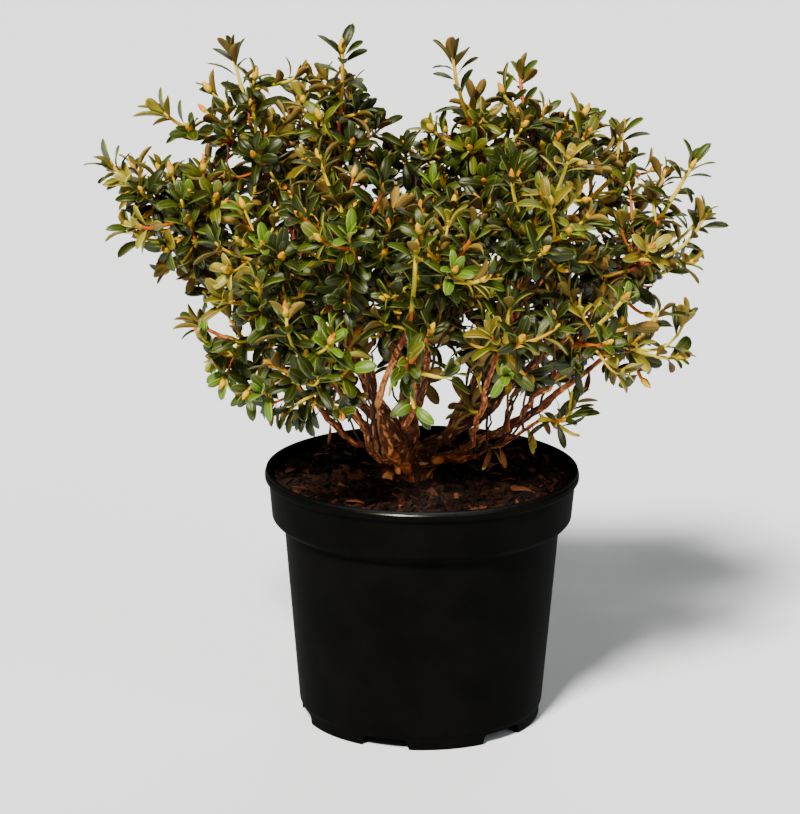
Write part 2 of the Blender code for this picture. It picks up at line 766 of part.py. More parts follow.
def main():
    clear_scene()
    plant = collection("potted_rhododendron")
    cutters = collection("cutters")
    black_plastic = material("black_plastic", (0.012, 0.012, 0.013), 0.38)
    bark_mix = material("bark_mix", (0.035, 0.018, 0.012), 0.95)
    bark = material("bark", (0.170, 0.075, 0.035), 0.85)
    leaves = material("leaves", (0.085, 0.150, 0.035), 0.45)
    limbs = boughs()
    build_limbs(limbs, plant, cutters, bark)
    blade = leaf_mesh()
    for mass in MASSES:
        foliage(mass, limbs, blade, plant, leaves)
    pot(plant, black_plastic)
    potting_mix(plant, bark_mix)


main()
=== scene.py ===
"""The looks of a small-leaved rhododendron in its round black nursery pot.

Metres, +Z up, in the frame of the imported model. Boughs, twigs and leaves follow the growth rule that
the solids follow, carried on to finer shoots, with leaves and buds at their natural size.
"""

import json
import math
import random
from typing import NamedTuple

import bmesh
import bpy
import numpy as np
from mathutils import Matrix, Vector, kdtree, noise

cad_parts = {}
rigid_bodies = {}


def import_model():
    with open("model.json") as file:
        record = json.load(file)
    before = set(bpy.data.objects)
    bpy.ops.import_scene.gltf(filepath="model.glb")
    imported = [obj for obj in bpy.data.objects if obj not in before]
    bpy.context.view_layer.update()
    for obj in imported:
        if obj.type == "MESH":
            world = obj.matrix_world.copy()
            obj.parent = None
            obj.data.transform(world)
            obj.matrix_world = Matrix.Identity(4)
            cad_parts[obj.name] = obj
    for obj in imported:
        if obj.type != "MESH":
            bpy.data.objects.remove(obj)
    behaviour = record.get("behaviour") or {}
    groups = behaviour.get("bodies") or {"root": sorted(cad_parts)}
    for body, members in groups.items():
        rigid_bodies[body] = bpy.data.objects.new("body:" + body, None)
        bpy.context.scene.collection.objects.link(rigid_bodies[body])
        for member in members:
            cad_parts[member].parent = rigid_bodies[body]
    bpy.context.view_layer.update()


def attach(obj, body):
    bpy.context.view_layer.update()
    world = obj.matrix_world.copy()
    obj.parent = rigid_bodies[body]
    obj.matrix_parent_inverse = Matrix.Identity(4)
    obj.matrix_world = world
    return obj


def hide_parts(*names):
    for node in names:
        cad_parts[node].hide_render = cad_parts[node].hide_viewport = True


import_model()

UP = np.array((0.0, 0.0, 1.0))
GOLDEN_ANGLE = math.radians(137.5)

# Camera: fitted to the circles of the pot's rim, collar and foot. The picture is 800 by 814 pixels.
PICTURE_WIDTH, PICTURE_HEIGHT = 800.0, 814.0
CAMERA_PLACE = (-0.01635, -2.27407, 0.84892)
CAMERA_PITCH = math.radians(15.163)
CAMERA_ROLL = math.radians(0.268)
CAMERA_FOCUS = 3235.24
SENSOR = 36.0

# Stage: each light's place, power, angle in degrees and colour
FLOOR_SIZE = 80.0
FLOOR_DROP = 0.0003
FLOOR_COLOUR = (222, 234, 252)
SKY_COLOUR = (1.0, 0.93, 0.78, 1.0)
SKY_POWER = 0.095
SUNS = {
    "key": ((-0.5, -1.3, 1.5), 10.8, 12.0, (1.0, 0.91, 0.74)),
    "fill": ((1.0, -1.0, 0.9), 0.65, 30.0, (1.0, 0.94, 0.82)),
    "back": ((0.3, 1.3, 1.0), 0.8, 30.0, (1.0, 0.92, 0.78)),
}

# Pot
POT_HEIGHT = 0.1875
LIP_RADIUS = 0.115
LIP_DEPTH = 0.0075
LIP_WIDTH = 0.0045
BEAD_DEPTH = 0.0022
BEAD_IN = 0.0008
# The lip's edge, made shiny on its front arc only as a painted highlight where the key light's glint
# faces the camera: its height and width, how far it reaches to the sides, and the steps in which it fades
# there
RIM_SHINE = 0.0032
RIM_SHINE_WIDTH = 0.0017
RIM_SHINE_REACH = 0.078
RIM_STEPS = 8
RIM_FADE = 1.5
# Specular level, least and most roughness
PLASTIC = (0.01, 0.60, 0.72)
SHINY_RIM = (0.34, 0.19, 0.28)
COLLAR_TOP_RADIUS = 0.1122
COLLAR_FOOT_RADIUS = 0.1098
COLLAR_FOOT = 0.1520
SHOULDER_IN = 0.0026
SHOULDER_DOWN = 0.0030
WALL_TOP = 0.1470
WALL_TOP_RADIUS = 0.1010
WALL_FOOT = 0.0110
WALL_FOOT_RADIUS = 0.0900
FOOT_RADIUS = 0.0880
WALL_THICKNESS = 0.0018
FLOOR_UNDERSIDE = 0.0085
FLOOR_THICKNESS = 0.0020
FOOT_RING_WIDTH = 0.0100
POT_STEPS = 240
OUTER_FILLET = 0.0012
INNER_FILLET = 0.0016
LIP_FOOT_RISE = 0.0004
LIP_FOOT_DROP = 0.0008
INNER_LIP_DROP = 0.0010
WALL_HEAD_DROP = 0.0010
FOOT_FLARE = 0.0004
FOOT_RING_TAPER = 0.0010
FLOOR_EDGE_IN = 0.0015
CREASE = math.radians(32)
FEET = 6
FOOT_ARC = math.radians(35)
FOOT_TURN = math.radians(12.5)
SLOT_LENGTH = 0.040
SLOT_OUT = 0.006
SLOT_BELOW = 0.0050
SLOT_UNDER_FLOOR = 0.0010
SLOT_FILLET = 0.0022
SLOT_HEAD_WIDTH = 0.90
SLOT_FOOT_WIDTH = 1.06

# Potting mix
MIX_AT_WALL = 0.1790
MIX_TOP = 0.1757
MIX_FLAT_RADIUS = 0.0500
MIX_RELIEF = 0.0022
MIX_RINGS = 70
MIX_SPOKES = 200
MIX_GAP = 0.0003
MIX_WALL_GAP = 0.0006
MIX_FOOT_IN = 0.0021
LEVEL_AT_TRUNK = 0.024
CHIPS = 3300
CHIPS_OFF_TRUNK = 0.026
CHIPS_OFF_WALL = 0.002
SMALLEST_CHIP = np.array((0.0026, 0.0013, 0.0008))
CHIP_GROWTH = np.array((0.0094, 0.0042, 0.0018))
CHIP_SHARES = {"chip_black": 30, "chip_dark": 36, "chip_brown": 20, "chip_red": 12, "chip_orange": 3}
FALLEN_LEAVES = 16
FALLEN_LENGTH = 0.018
FALLEN_LIFT = 0.0025
FALLEN_BACK = 0.006
FALLEN_OFF_WALL = 0.006

# Trunk
TRUNK_FOOT = np.array((-0.0100, 0.0150, MIX_TOP + 0.0003))
TRUNK_LEAN = np.array((-0.0010, 0.0010, 0.0240))
TRUNK_RADII = (0.0250, 0.0205, 0.0180, 0.0170, 0.0130)
CORE_SHARE = 0.66
STOOL_UNDER_MIX = 0.0020
STUB_CHANCE = 0.7
STUB_LENGTH = (0.011, 0.016)
STUB_RADII = (0.0030, 0.0024)
STUB_SIDES = 9
STUB_POINTS = 5
STRAND_JOINS = (0.10, 0.16)
STRAND_OUT = (0.010, 0.0175)
STRAND_FOOT = 1.30
KNEE_OUT = 0.002
KNEE_HEIGHT = (0.009, 0.014)

# Boughs
BOUGH_POINTS = 48
BOUGH_SWAY = 0.07
BOUGH_STOPS_SHORT = 0.62
BOUGH_BENDS = (0.35, 0.70)
SWAY_AT_BENDS = (2.0, -1.6)
BOW_AT_BENDS = (1.3, 0.7)
FOOT_THICKNESS = 0.0124
END_THICKNESS = 0.0086
FORK_TO_PARENT = 0.8
LEAST_TAPER = 1.1
# Small bends as waves to a limb and their size, and the knots of a limb
GNARLS = ((2.3, 0.0016), (5.1, 0.0009), (9.0, 0.0004))
KNOTS = 5
# An old shoot that rises in front of the other stems to the front's arc, its bark lightened with painted
# light
FRONT_STEM = (
    (-0.021, 0.004, 0.186),
    (-0.044, -0.012, 0.212),
    (-0.032, -0.060, 0.262),
    (-0.0155, -0.110, 0.3082),
)
FRONT_STEM_RADII = (0.0032, 0.0023)
# Painted light that lightens the front stem's bark
FRONT_STEM_PAINTED_LIGHT = 0.62

# Sides of the wood's tubes before they become one skin
CORE_SIDES = 24
STRAND_SIDES = 12
STRAND_POINTS = 16
BOUGH_SIDES = 14

# Bark: the skin's fineness, its flakes a metre, and the depth of its relief, which grows with girth
BARK_VOXEL = 0.00075
WOOD_TRIANGLES = 190000
# The trunk's radius for its grain, and how far the grain of two limbs lies apart
TRUNK_GIRTH = 0.018
GRAIN_APART = 0.7
GRAIN_STRETCH = 0.22
FLAKE_PITCH = 680.0
LUMP_PITCH = 560.0
WOBBLE_PITCH = 700.0
WOBBLE = 0.30
CRACK_WIDTH = 0.28
RELIEF_SHARE = 0.15
RELIEF_DEPTHS = (0.00020, 0.00125)
YOUNG_GIRTH = 0.0020
OLD_GIRTH = 0.0060
STUB_WEAR_REACH = 0.0035
OLD_BARK = ((0.38, (19, 12, 8)), (0.52, (58, 37, 24)), (0.70, (138, 91, 58)), (0.90, (232, 178, 124)))
YOUNG_BARK = ((0.38, (52, 26, 14)), (0.62, (140, 68, 33)), (0.90, (220, 138, 70)))

# Foliage: the rule of the solids
CROWN_HEART = np.array((0.0, 0.010, 0.250))
SPACE_GAP = 0.0004
TIP_INSET = 0.0040
SHOOT_SHARE = 0.0130
TRIES = 14
WAY_WEIGHT = 0.55
FORK_PLACES = (0.20, 0.35, 0.50, 0.65)
BOUGH_PLACES = (0.1, 0.3, 0.5, 0.7, 0.9)
TURN_COST = 0.6
TWIG_BOW = 0.35
TWIG_TO_SKY = 0.35
TWIG_TO_OUTSIDE = 0.25
FINE_TO_SKY = 0.65
LOW_TO_SKY = -0.55
MOST_CROSSING = 0.30
LOW_TO = 0.390
LOW_DEPTH = 0.110
STEM_RADIUS = 0.0021

# Foliage: finer shoots, leaves and buds at natural size
FINE_SHARE = 0.0023
INNER_SHOOTS = 6
INNER_REACH = (0.018, 0.040)
LOWEST_INNER = 0.232
SHOOT_RADII = {
    "leader": (0.0016, 0.0013),
    "coarse": (0.0016, 0.0013),
    "high": (0.0014, 0.0011),
    "arc": (0.0014, 0.0011),
    "front": (0.0022, 0.0015),
    "low": (0.0012, 0.0009),
    "fine": (0.0012, 0.0009),
    "inner": (0.0011, 0.0009),
}
BARE_TWIGS = 6
BARE_RADIUS = 0.0011
BARE_REACH = (0.026, 0.058)
BARE_KINK = 0.0006
BARE_SIDES = 5
BARE_BARKS = ("twig_dark", "twig_brown")
TWIG_POINTS = 9
TWIG_SIDES = 6
LEAF_LENGTH = 0.0235
LEAF_OVER_WALL = 0.0120
LEAF_STRETCH = 1.12
LEAF_ROLL = 0.35
LEADER_STRETCH = 2.4
PETIOLE = 0.12
SHORT_SHOOT = 0.02
LEAF_COUNT = (8, 11)
SHORT_LEAF_COUNT = (6, 8)
BUD_CHANCE = 0.80
LOW_BUD_LOSS = 0.45
BUD_LENGTH = 0.0108
BUD_RADIUS = 0.0025
BUD_SUNK = 0.0015
# Withered leaves that hang under the lowest branches
HANGING = {"lowest_right": 8, "low_right": 6, "low_left": 5}
HANGING_STRETCH = (0.45, 1.0)
HANGING_LENGTH = (0.015, 0.022)


class Mass(NamedTuple):
    """One mass of foliage and the bough that carries it."""

    name: str
    parent: str
    fork: float
    centre: tuple
    reach: float
    bow: float


MASSES = (
    Mass("far_left", "trunk", 0.55, (-0.168, -0.045, 0.383), 0.048, -0.04),
    Mass("high_left", "trunk", 0.90, (-0.124, 0.000, 0.424), 0.056, 0.05),
    Mass("front_high", "trunk", 0.60, (0.010, -0.110, 0.365), 0.056, 0.08),
    Mass("far_right", "trunk", 0.70, (0.156, 0.000, 0.343), 0.045, 0.10),
    Mass("back_high", "trunk", 0.95, (0.005, 0.085, 0.358), 0.054, 0.04),
    Mass("low_right", "trunk", 0.35, (0.153, -0.040, 0.296), 0.042, 0.10),
    Mass("low_left", "trunk", 0.30, (-0.120, -0.050, 0.292), 0.047, 0.12),
    Mass("back_left", "trunk", 0.50, (-0.145, 0.060, 0.345), 0.054, 0.10),
    Mass("back_right_low", "trunk", 0.45, (0.105, 0.110, 0.285), 0.055, 0.12),
    Mass("back_low", "trunk", 0.30, (0.000, 0.134, 0.315), 0.052, 0.14),
    Mass("front_left_low", "trunk", 0.25, (-0.070, -0.125, 0.292), 0.050, 0.12),
    Mass("mid_left", "far_left", 0.45, (-0.108, -0.085, 0.350), 0.056, 0.05),
    Mass("top_left", "high_left", 0.40, (-0.062, 0.005, 0.425), 0.053, 0.05),
    Mass("back_left_high", "high_left", 0.25, (-0.085, 0.085, 0.394), 0.056, 0.05),
    Mass("front_left_high", "front_high", 0.40, (-0.055, -0.105, 0.375), 0.056, 0.05),
    Mass("front_low", "front_high", 0.25, (-0.010, -0.148, 0.302), 0.046, 0.10),
    Mass("middle", "back_high", 0.40, (-0.012, -0.012, 0.350), 0.046, 0.05),
    Mass("high_right", "far_right", 0.18, (0.093, 0.015, 0.409), 0.051, 0.08),
    Mass("front_right_high", "far_right", 0.38, (0.075, -0.085, 0.380), 0.057, 0.08),
    Mass("right_front", "low_right", 0.50, (0.115, -0.085, 0.316), 0.051, 0.08),
    Mass("front_right_low", "low_right", 0.25, (0.055, -0.130, 0.316), 0.048, 0.10),
    Mass("lowest_right", "low_right", 0.15, (0.096, -0.060, 0.245), 0.029, 0.10),
    Mass("top_right", "back_high", 0.55, (0.046, -0.005, 0.413), 0.052, 0.05),
    Mass("right_shoulder", "high_right", 0.45, (0.130, 0.048, 0.390), 0.043, 0.08),
    Mass("back_right_high", "back_right_low", 0.30, (0.085, 0.105, 0.368), 0.056, 0.08),
    Mass("right_back", "back_right_low", 0.45, (0.150, 0.070, 0.317), 0.046, 0.08),
    Mass("back_left_low", "back_left", 0.30, (-0.092, 0.118, 0.300), 0.055, 0.10),
)

# Shoots that stand out of the outline, as the places of their rosettes.
LEADERS = {
    "far_left": ((-0.219, -0.045, 0.419),),
    "high_left": ((-0.137, 0.022, 0.487), (-0.184, -0.015, 0.451)),
    "top_left": ((-0.058, -0.018, 0.496),),
    "top_right": ((0.020, -0.025, 0.491),),
    "high_right": ((0.069, 0.035, 0.471),),
    "right_shoulder": ((0.147, 0.045, 0.406),),
    "far_right": ((0.190, -0.010, 0.413), (0.165, 0.000, 0.390)),
    "low_left": ((-0.160, -0.035, 0.303),),
    "front_high": ((-0.002, -0.110, 0.400),),
    "front_right_high": ((0.060, -0.085, 0.419),),
}

# Further shoots that rise to the outline between them, and over the front and back of the crown.
HIGH_SHOOTS = {
    "high_left": ((-0.121, 0.010, 0.472), (-0.158, 0.030, 0.445), (-0.090, 0.022, 0.473)),
    "top_left": ((-0.080, 0.030, 0.467), (-0.046, -0.010, 0.452), (-0.070, 0.000, 0.474)),
    "top_right": ((0.036, 0.022, 0.455), (0.006, -0.020, 0.441)),
    "high_right": ((0.086, 0.020, 0.447), (0.056, 0.015, 0.462)),
    "right_shoulder": ((0.124, 0.058, 0.431), (0.144, 0.050, 0.428)),
    "far_left": (
        (-0.196, -0.060, 0.403),
        (-0.186, -0.040, 0.415),
        (-0.207, -0.045, 0.407),
        (-0.205, -0.020, 0.413),
    ),
    "far_right": ((0.172, 0.005, 0.404), (0.151, 0.030, 0.392)),
    "low_right": ((0.169, -0.010, 0.310),),
    "back_left_high": ((-0.095, 0.082, 0.450), (-0.055, 0.110, 0.436)),
    "back_right_high": ((0.075, 0.095, 0.425), (0.112, 0.118, 0.412)),
    "back_high": ((0.010, 0.100, 0.404), (-0.014, 0.060, 0.411), (-0.022, 0.040, 0.421)),
    "front_left_high": ((-0.072, -0.100, 0.434), (-0.028, -0.130, 0.424)),
    "front_right_high": ((0.098, -0.100, 0.436),),
    "back_left": ((-0.160, 0.075, 0.398),),
    "right_back": ((0.160, 0.085, 0.362),),
}

# Shoots that hang at the crown's lower corners.
LOW_SHOOTS = {
    "low_left": ((-0.140, -0.060, 0.270), (-0.124, -0.070, 0.262)),
    "front_left_low": ((-0.106, -0.110, 0.263), (-0.093, -0.130, 0.264)),
}

# Long shoots that leave a bough's tip and turn up in an open arc: the corner that the arc rounds,
# and its tip.
ARCS = {
    "far_right": (
        ((0.1844, -0.004, 0.3353), (0.2019, -0.004, 0.3778)),
        ((0.1743, 0.014, 0.3385), (0.1987, 0.014, 0.3704)),
    ),
    "low_right": (((0.1722, -0.036, 0.2678), (0.1875, -0.036, 0.3090)),),
    "front_low": (((-0.0079, -0.142, 0.3420), (-0.0061, -0.158, 0.3830)),),
    "far_left": (((-0.1919, -0.060, 0.3562), (-0.2069, -0.060, 0.3790)),),
    "front_left_low": (((-0.0940, -0.140, 0.3000), (-0.0940, -0.140, 0.3350)),),
}

# Places where the photograph shows sky or bare limbs through the crown, in its pixels: the middle
# and the half size of an ellipse each.
CLEARINGS = np.array(
    (
        (594, 187, 15, 14), (574, 210, 11, 10), (642, 314, 18, 12), (664, 334, 10, 9),
        (648, 349, 11, 5), (614, 314, 8, 5), (544, 402, 24, 10), (506, 414, 18, 8),
        (446, 388, 8, 14), (467, 380, 7, 7), (442, 350, 5, 7), (220, 326, 10, 15),
        (247, 331, 7, 9), (233, 162, 11, 5), (372, 417, 18, 15), (345, 428, 18, 9),
        (188, 148, 20, 11), (198, 104, 11, 12), (153, 256, 14, 7), (153, 240, 6, 5),
        (384, 90, 12, 9), (674, 288, 18, 16), (668, 386, 26, 14), (700, 322, 10, 8),
        (586, 432, 16, 8), (552, 94, 9, 7),
    ),
    dtype=float,
)

# Limbs that show between the lower leaves: how far to each side of them few leaves hang in front,
# and the height from which that holds, both in the photograph's pixels.
SHOWN_BOUGHS = ("far_right", "low_right", "lowest_right", "low_left", "front_high", "high_left")
SHOWN_LIMBS = {**dict.fromkeys(SHOWN_BOUGHS, (4.0, 352.0)), "front_stem": (7.0, 318.0)}

# Share of the usual count of finer shoots, for masses that the photograph shows thin or thick.
THINNER = {
    **dict.fromkeys(("far_right", "front_low", "front_right_low"), 0.5),
    **dict.fromkeys(("low_right", "right_front"), 0.6),
    **dict.fromkeys(("lowest_right", "right_shoulder"), 0.7),
    **dict.fromkeys(("front_left_low", "back_right_low"), 0.75),
    **dict.fromkeys(("low_left", "right_back"), 0.8),
    **dict.fromkeys(("back_low", "back_left_low", "middle"), 1.1),
}

# Lowest finer shoots, as a height and how fast it rises to the right of the skirt's corner, where
# the photograph shows the crown open underneath.
SKIRT_CORNER = 0.143
SKIRT = {
    "far_right": (0.323, 0.8),
    "low_right": (0.262, 1.5),
    "right_front": (0.284, 0.6),
    "front_low": (0.290, 0.0),
    "front_right_low": (0.296, 0.0),
    "front_left_low": (0.270, 0.0),
    "lowest_right": (0.240, 0.0),
}


def linear(colour):
    """A colour of 0 to 255 a channel, as an opaque one in Blender's linear values."""
    shares = (channel / 255 for channel in colour)
    return (*((c / 12.92 if c <= 0.04045 else ((c + 0.055) / 1.055) ** 2.4) for c in shares), 1.0)


# Plain colours. Leaves: upper side, pale rib and rim, underside, for each tint.
LEAF_TINTS = {
    "deep": ((27, 33, 3), (60, 72, 18), (98, 74, 24)),
    "mid": ((45, 57, 8), (84, 97, 28), (126, 101, 34)),
    "fresh": ((70, 98, 16), (114, 138, 44), (146, 136, 50)),
    "olive": ((72, 78, 15), (116, 118, 40), (148, 136, 44)),
    "bronze": ((90, 81, 18), (136, 124, 42), (154, 138, 46)),
    "brass": ((120, 114, 30), (168, 158, 60), (188, 176, 72)),
    "dead": ((84, 42, 16), (110, 60, 26), (96, 50, 22)),
}
PLAIN_COLOURS = {
    "petiole": ((160, 112, 16), 0.5),
    "shoot_yellow": ((184, 168, 30), 0.5),
    "shoot_gold": ((184, 142, 18), 0.5),
    "shoot_orange": ((160, 80, 14), 0.55),
    "twig_red": ((134, 48, 18), 0.6),
    "twig_brown": ((82, 42, 22), 0.75),
    "twig_dark": ((40, 24, 15), 0.8),
    "bud_foot": ((156, 132, 20), 0.5),
    "bud_gold": ((198, 154, 16), 0.45),
    "bud_orange": ((184, 120, 8), 0.45),
    "bud_blush": ((164, 88, 10), 0.45),
    "chip_black": ((15, 9, 8), 0.9),
    "chip_dark": ((28, 17, 13), 0.9),
    "chip_brown": ((42, 24, 17), 0.85),
    "chip_red": ((61, 31, 21), 0.85),
    "chip_orange": ((98, 60, 37), 0.8),
}
LEAF_GLOSS = {"upper": 0.33, "rib": 0.42, "under": 0.66}
LEAF_SPECULAR = 0.26
MIX_SPECULAR = 0.12
FINE_RELIEF = 0.0003


class Look:
    """A new material, with short ways to add to its nodes."""

    def __init__(self, name, specular, roughness=0.5):
        self.material = bpy.data.materials.new(name)
        self.material.use_nodes = True
        self.tree = self.material.node_tree
        self.shader = self.tree.nodes["Principled BSDF"]
        self.shader.inputs["Specular IOR Level"].default_value = specular
        self.shader.inputs["Roughness"].default_value = roughness

    def node(self, kind, **values):
        """A node with these values at its inputs."""
        made = self.tree.nodes.new(f"ShaderNode{kind}")
        for name, value in values.items():
            made.inputs[name].default_value = value
        return made

    def link(self, start, output, end, entry):
        self.tree.links.new(start.outputs[output], end.inputs[entry])

    def clouds(self, scale, detail):
        """Noise by the place on the object."""
        made = self.node("TexNoise", Scale=scale, Detail=detail)
        self.link(self.node("TexCoord"), "Object", made, "Vector")
        return made

    def ramp(self, start, output, stops):
        """Colours after an output, from stops of a place and a colour each."""
        made = self.node("ValToRGB")
        while len(made.color_ramp.elements) < len(stops):
            made.color_ramp.elements.new(0.5)
        for element, (place, colour) in zip(made.color_ramp.elements, stops):
            element.position = place
            element.color = linear(colour)
        self.link(start, output, made, "Fac")
        return made

    def relief(self, pattern, strength, distance):
        """Small bumps after a pattern."""
        bump = self.node("Bump", Strength=strength, Distance=distance)
        self.link(pattern, "Fac", bump, "Height")
        self.link(bump, "Normal", self.shader, "Normal")


def plain_material(name, colour, roughness, grain=0.0, grain_scale=900.0):
    """One even colour, with a fine relief where a grain is given."""
    look = Look(name, MIX_SPECULAR if name.startswith("chip") else LEAF_SPECULAR, roughness)
    look.shader.inputs["Base Color"].default_value = linear(colour)
    if grain:
        look.relief(look.node("TexNoise", Scale=grain_scale, Detail=2.0), grain, FINE_RELIEF)
    return look.material


def make_palette():
    palette = {}
    for tint, colours in LEAF_TINTS.items():
        for side, colour in zip(("upper", "rib", "under"), colours):
            name = f"leaf_{tint}_{side}"
            roughness = 0.8 if tint == "dead" else LEAF_GLOSS[side]
            palette[name] = plain_material(name, colour, roughness, 0.25)
    for name, (colour, roughness) in PLAIN_COLOURS.items():
        palette[name] = plain_material(name, colour, roughness, 0.3, 700.0)
    return palette


def linked(name, data):
    """A new object in the scene."""
    made = bpy.data.objects.new(name, data)
    bpy.context.scene.collection.objects.link(made)
    return made


def mesh_of(name, shape):
    """A mesh with what the bmesh holds, which is freed."""
    made = bpy.data.meshes.new(name)
    shape.to_mesh(made)
    shape.free()
    return made


def settle(piece, slot, *nodes):
    """The piece rides on the plant's one body and takes the place of these solids."""
    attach(piece, "root")
    if nodes:
        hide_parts(*nodes)


class Batch:
    """Vertices and faces of many small shapes, joined into one mesh."""

    def __init__(self):
        self.verts, self.faces, self.slots = [], [], []
        self.count = 0

    def add(self, verts, faces, slots):
        """Faces are rows of four corners; a triangle repeats its last corner."""
        self.verts.append(verts)
        self.faces.append(np.asarray(faces) + self.count)
        self.slots.extend(slots)
        self.count += len(verts)

    def build(self, name, palette=None, smooth=True):
        verts = np.concatenate(self.verts)
        faces = np.concatenate(self.faces)
        triangular = faces[:, 2] == faces[:, 3]
        sizes = np.where(triangular, 3, 4)
        used = np.ones(faces.shape, bool)
        used[triangular, 3] = False
        starts = np.concatenate(([0], np.cumsum(sizes)[:-1]))
        mesh = bpy.data.meshes.new(name)
        mesh.vertices.add(len(verts))
        mesh.vertices.foreach_set("co", verts.astype(np.float32).ravel())
        mesh.loops.add(int(sizes.sum()))
        mesh.loops.foreach_set("vertex_index", faces[used].astype(np.int32))
        mesh.polygons.add(len(faces))
        mesh.polygons.foreach_set("loop_start", starts.astype(np.int32))
        names = sorted(set(self.slots))
        order = {slot: index for index, slot in enumerate(names)}
        picks = np.array([order[slot] for slot in self.slots], np.int32)
        if palette:
            for slot in names:
                mesh.materials.append(palette[slot])
            mesh.polygons.foreach_set("material_index", picks)
        mesh.polygons.foreach_set("use_smooth", np.full(len(faces), smooth))
        mesh.update(calc_edges=True)
        mesh.validate()
        return linked(name, mesh)


def skin(rings, sides):
    """Faces of a closed skin over a first point, rings of points and a last point, and the ring and
    side that each face starts from, where ring -1 is the first point."""
    faces, places = [], []
    last = 1 + (rings - 1) * sides
    for side in range(sides):
        after = (side + 1) % sides
        faces.append((0, 1 + after, 1 + side, 1 + side))
        for ring in range(rings - 1):
            a, b = 1 + ring * sides + side, 1 + ring * sides + after
            faces.append((a, b, b + sides, a + sides))
        faces.append((last + side, last + after, last + sides, last + sides))
        places.extend((ring, side) for ring in range(-1, rings))
    return np.array(faces), places


def unit(vector):
    return vector / np.linalg.norm(vector)


def polar(radius, angle):
    return radius * math.cos(angle), radius * math.sin(angle)


def scatter(dice, spread):
    """Three numbers about zero."""
    return np.array([dice.gauss(0.0, spread) for _ in range(3)])


def spans(line):
    """The length of each step of a line."""
    return np.linalg.norm(np.diff(line, axis=0), axis=1)


def place_on(line, share):
    """Point and direction at this share of a line's points."""
    at = share * (len(line) - 1)
    first = min(int(at), len(line) - 2)
    step = line[first + 1] - line[first]
    return line[first] + (at - first) * step, unit(step)


def bezier(corners, count):
    """Points of a Bezier curve of any degree."""
    degree = len(corners) - 1
    shares = np.linspace(0.0, 1.0, count)[:, None]
    weights = (
        math.comb(degree, k) * shares**k * (1.0 - shares) ** (degree - k)
        for k in range(degree + 1)
    )
    return sum(weight * np.array(corner) for weight, corner in zip(weights, corners))


# Limbs
class Limb(NamedTuple):
    """A tapering limb: its centre line and the radius at each point of it."""

    line: np.ndarray
    radii: np.ndarray


def trunk_axis(share):
    return TRUNK_FOOT + TRUNK_LEAN * share


def burdens():
    """What each bough carries: the reach of its mass and of all that forks from it."""
    carried = {mass.name: mass.reach for mass in MASSES}
    for mass in reversed(MASSES):
        if mass.parent != "trunk":
            carried[mass.parent] += carried[mass.name]
    return carried


def boughs():
    """Every bough, as the solids have it, with more points to its line."""
    made = {}
    carried = burdens()
    for mass in MASSES:
        centre = np.array(mass.centre)
        if mass.parent == "trunk":
            start = trunk_axis(mass.fork)
        else:
            start = place_on(made[mass.parent].line, mass.fork)[0]
        chord = centre - start
        tip = centre - unit(chord) * (BOUGH_STOPS_SHORT * mass.reach)
        chord = tip - start
        length = np.linalg.norm(chord)
        dice = random.Random(f"{mass.name} bough")
        side = unit(np.cross(chord, UP)) * dice.uniform(-BOUGH_SWAY, BOUGH_SWAY)
        bends = [
            start + chord * share + (side * sway - UP * mass.bow * bow) * length
            for share, sway, bow in zip(BOUGH_BENDS, SWAY_AT_BENDS, BOW_AT_BENDS)
        ]
        line = bezier((start, *bends, tip), BOUGH_POINTS)
        foot = FOOT_THICKNESS * math.sqrt(carried[mass.name])
        end = END_THICKNESS * math.sqrt(mass.reach)
        if mass.parent != "trunk":
            shares = np.linspace(0.0, 1.0, BOUGH_POINTS)
            foot = min(foot, FORK_TO_PARENT * float(np.interp(mass.fork, shares, made[mass.parent].radii)))
        made[mass.name] = Limb(line, np.linspace(max(foot, end * LEAST_TAPER), end, BOUGH_POINTS))
    return made


def gnarled(limb, name):
    """The limb with small bends and swellings, its ends left in place."""
    dice = random.Random(f"{name} gnarl")
    line, radii = limb.line.copy(), limb.radii.copy()
    shares = np.linspace(0.0, 1.0, len(line))
    heading = unit(line[-1] - line[0])
    side = unit(np.cross(heading, UP))
    across = np.cross(heading, side)
    fade = np.sin(math.pi * np.clip(shares * 1.15, 0.0, 1.0))
    for way in (side, across):
        for waves, size in GNARLS:
            phase = dice.uniform(0.0, math.tau)
            bend = np.sin(shares * waves * math.tau + phase) * size * fade
            line += bend[:, None] * way
    for _ in range(KNOTS):
        knot, width = dice.uniform(0.08, 0.95), dice.uniform(0.012, 0.03)
        radii *= 1.0 + dice.uniform(0.05, 0.16) * np.exp(-(((shares - knot) / width) ** 2))
    return Limb(line, radii)


def frames_along(line):
    """Two directions across the line at each point, turned as little as possible."""
    steps = np.gradient(line, axis=0)
    steps /= np.linalg.norm(steps, axis=1)[:, None]
    side = unit(np.cross(steps[0], (0.31, 0.88, 0.25)))
    sides = []
    for step in steps:
        side = unit(side - step * (side @ step))
        sides.append(side)
    sides = np.array(sides)
    return sides, np.cross(steps, sides), steps


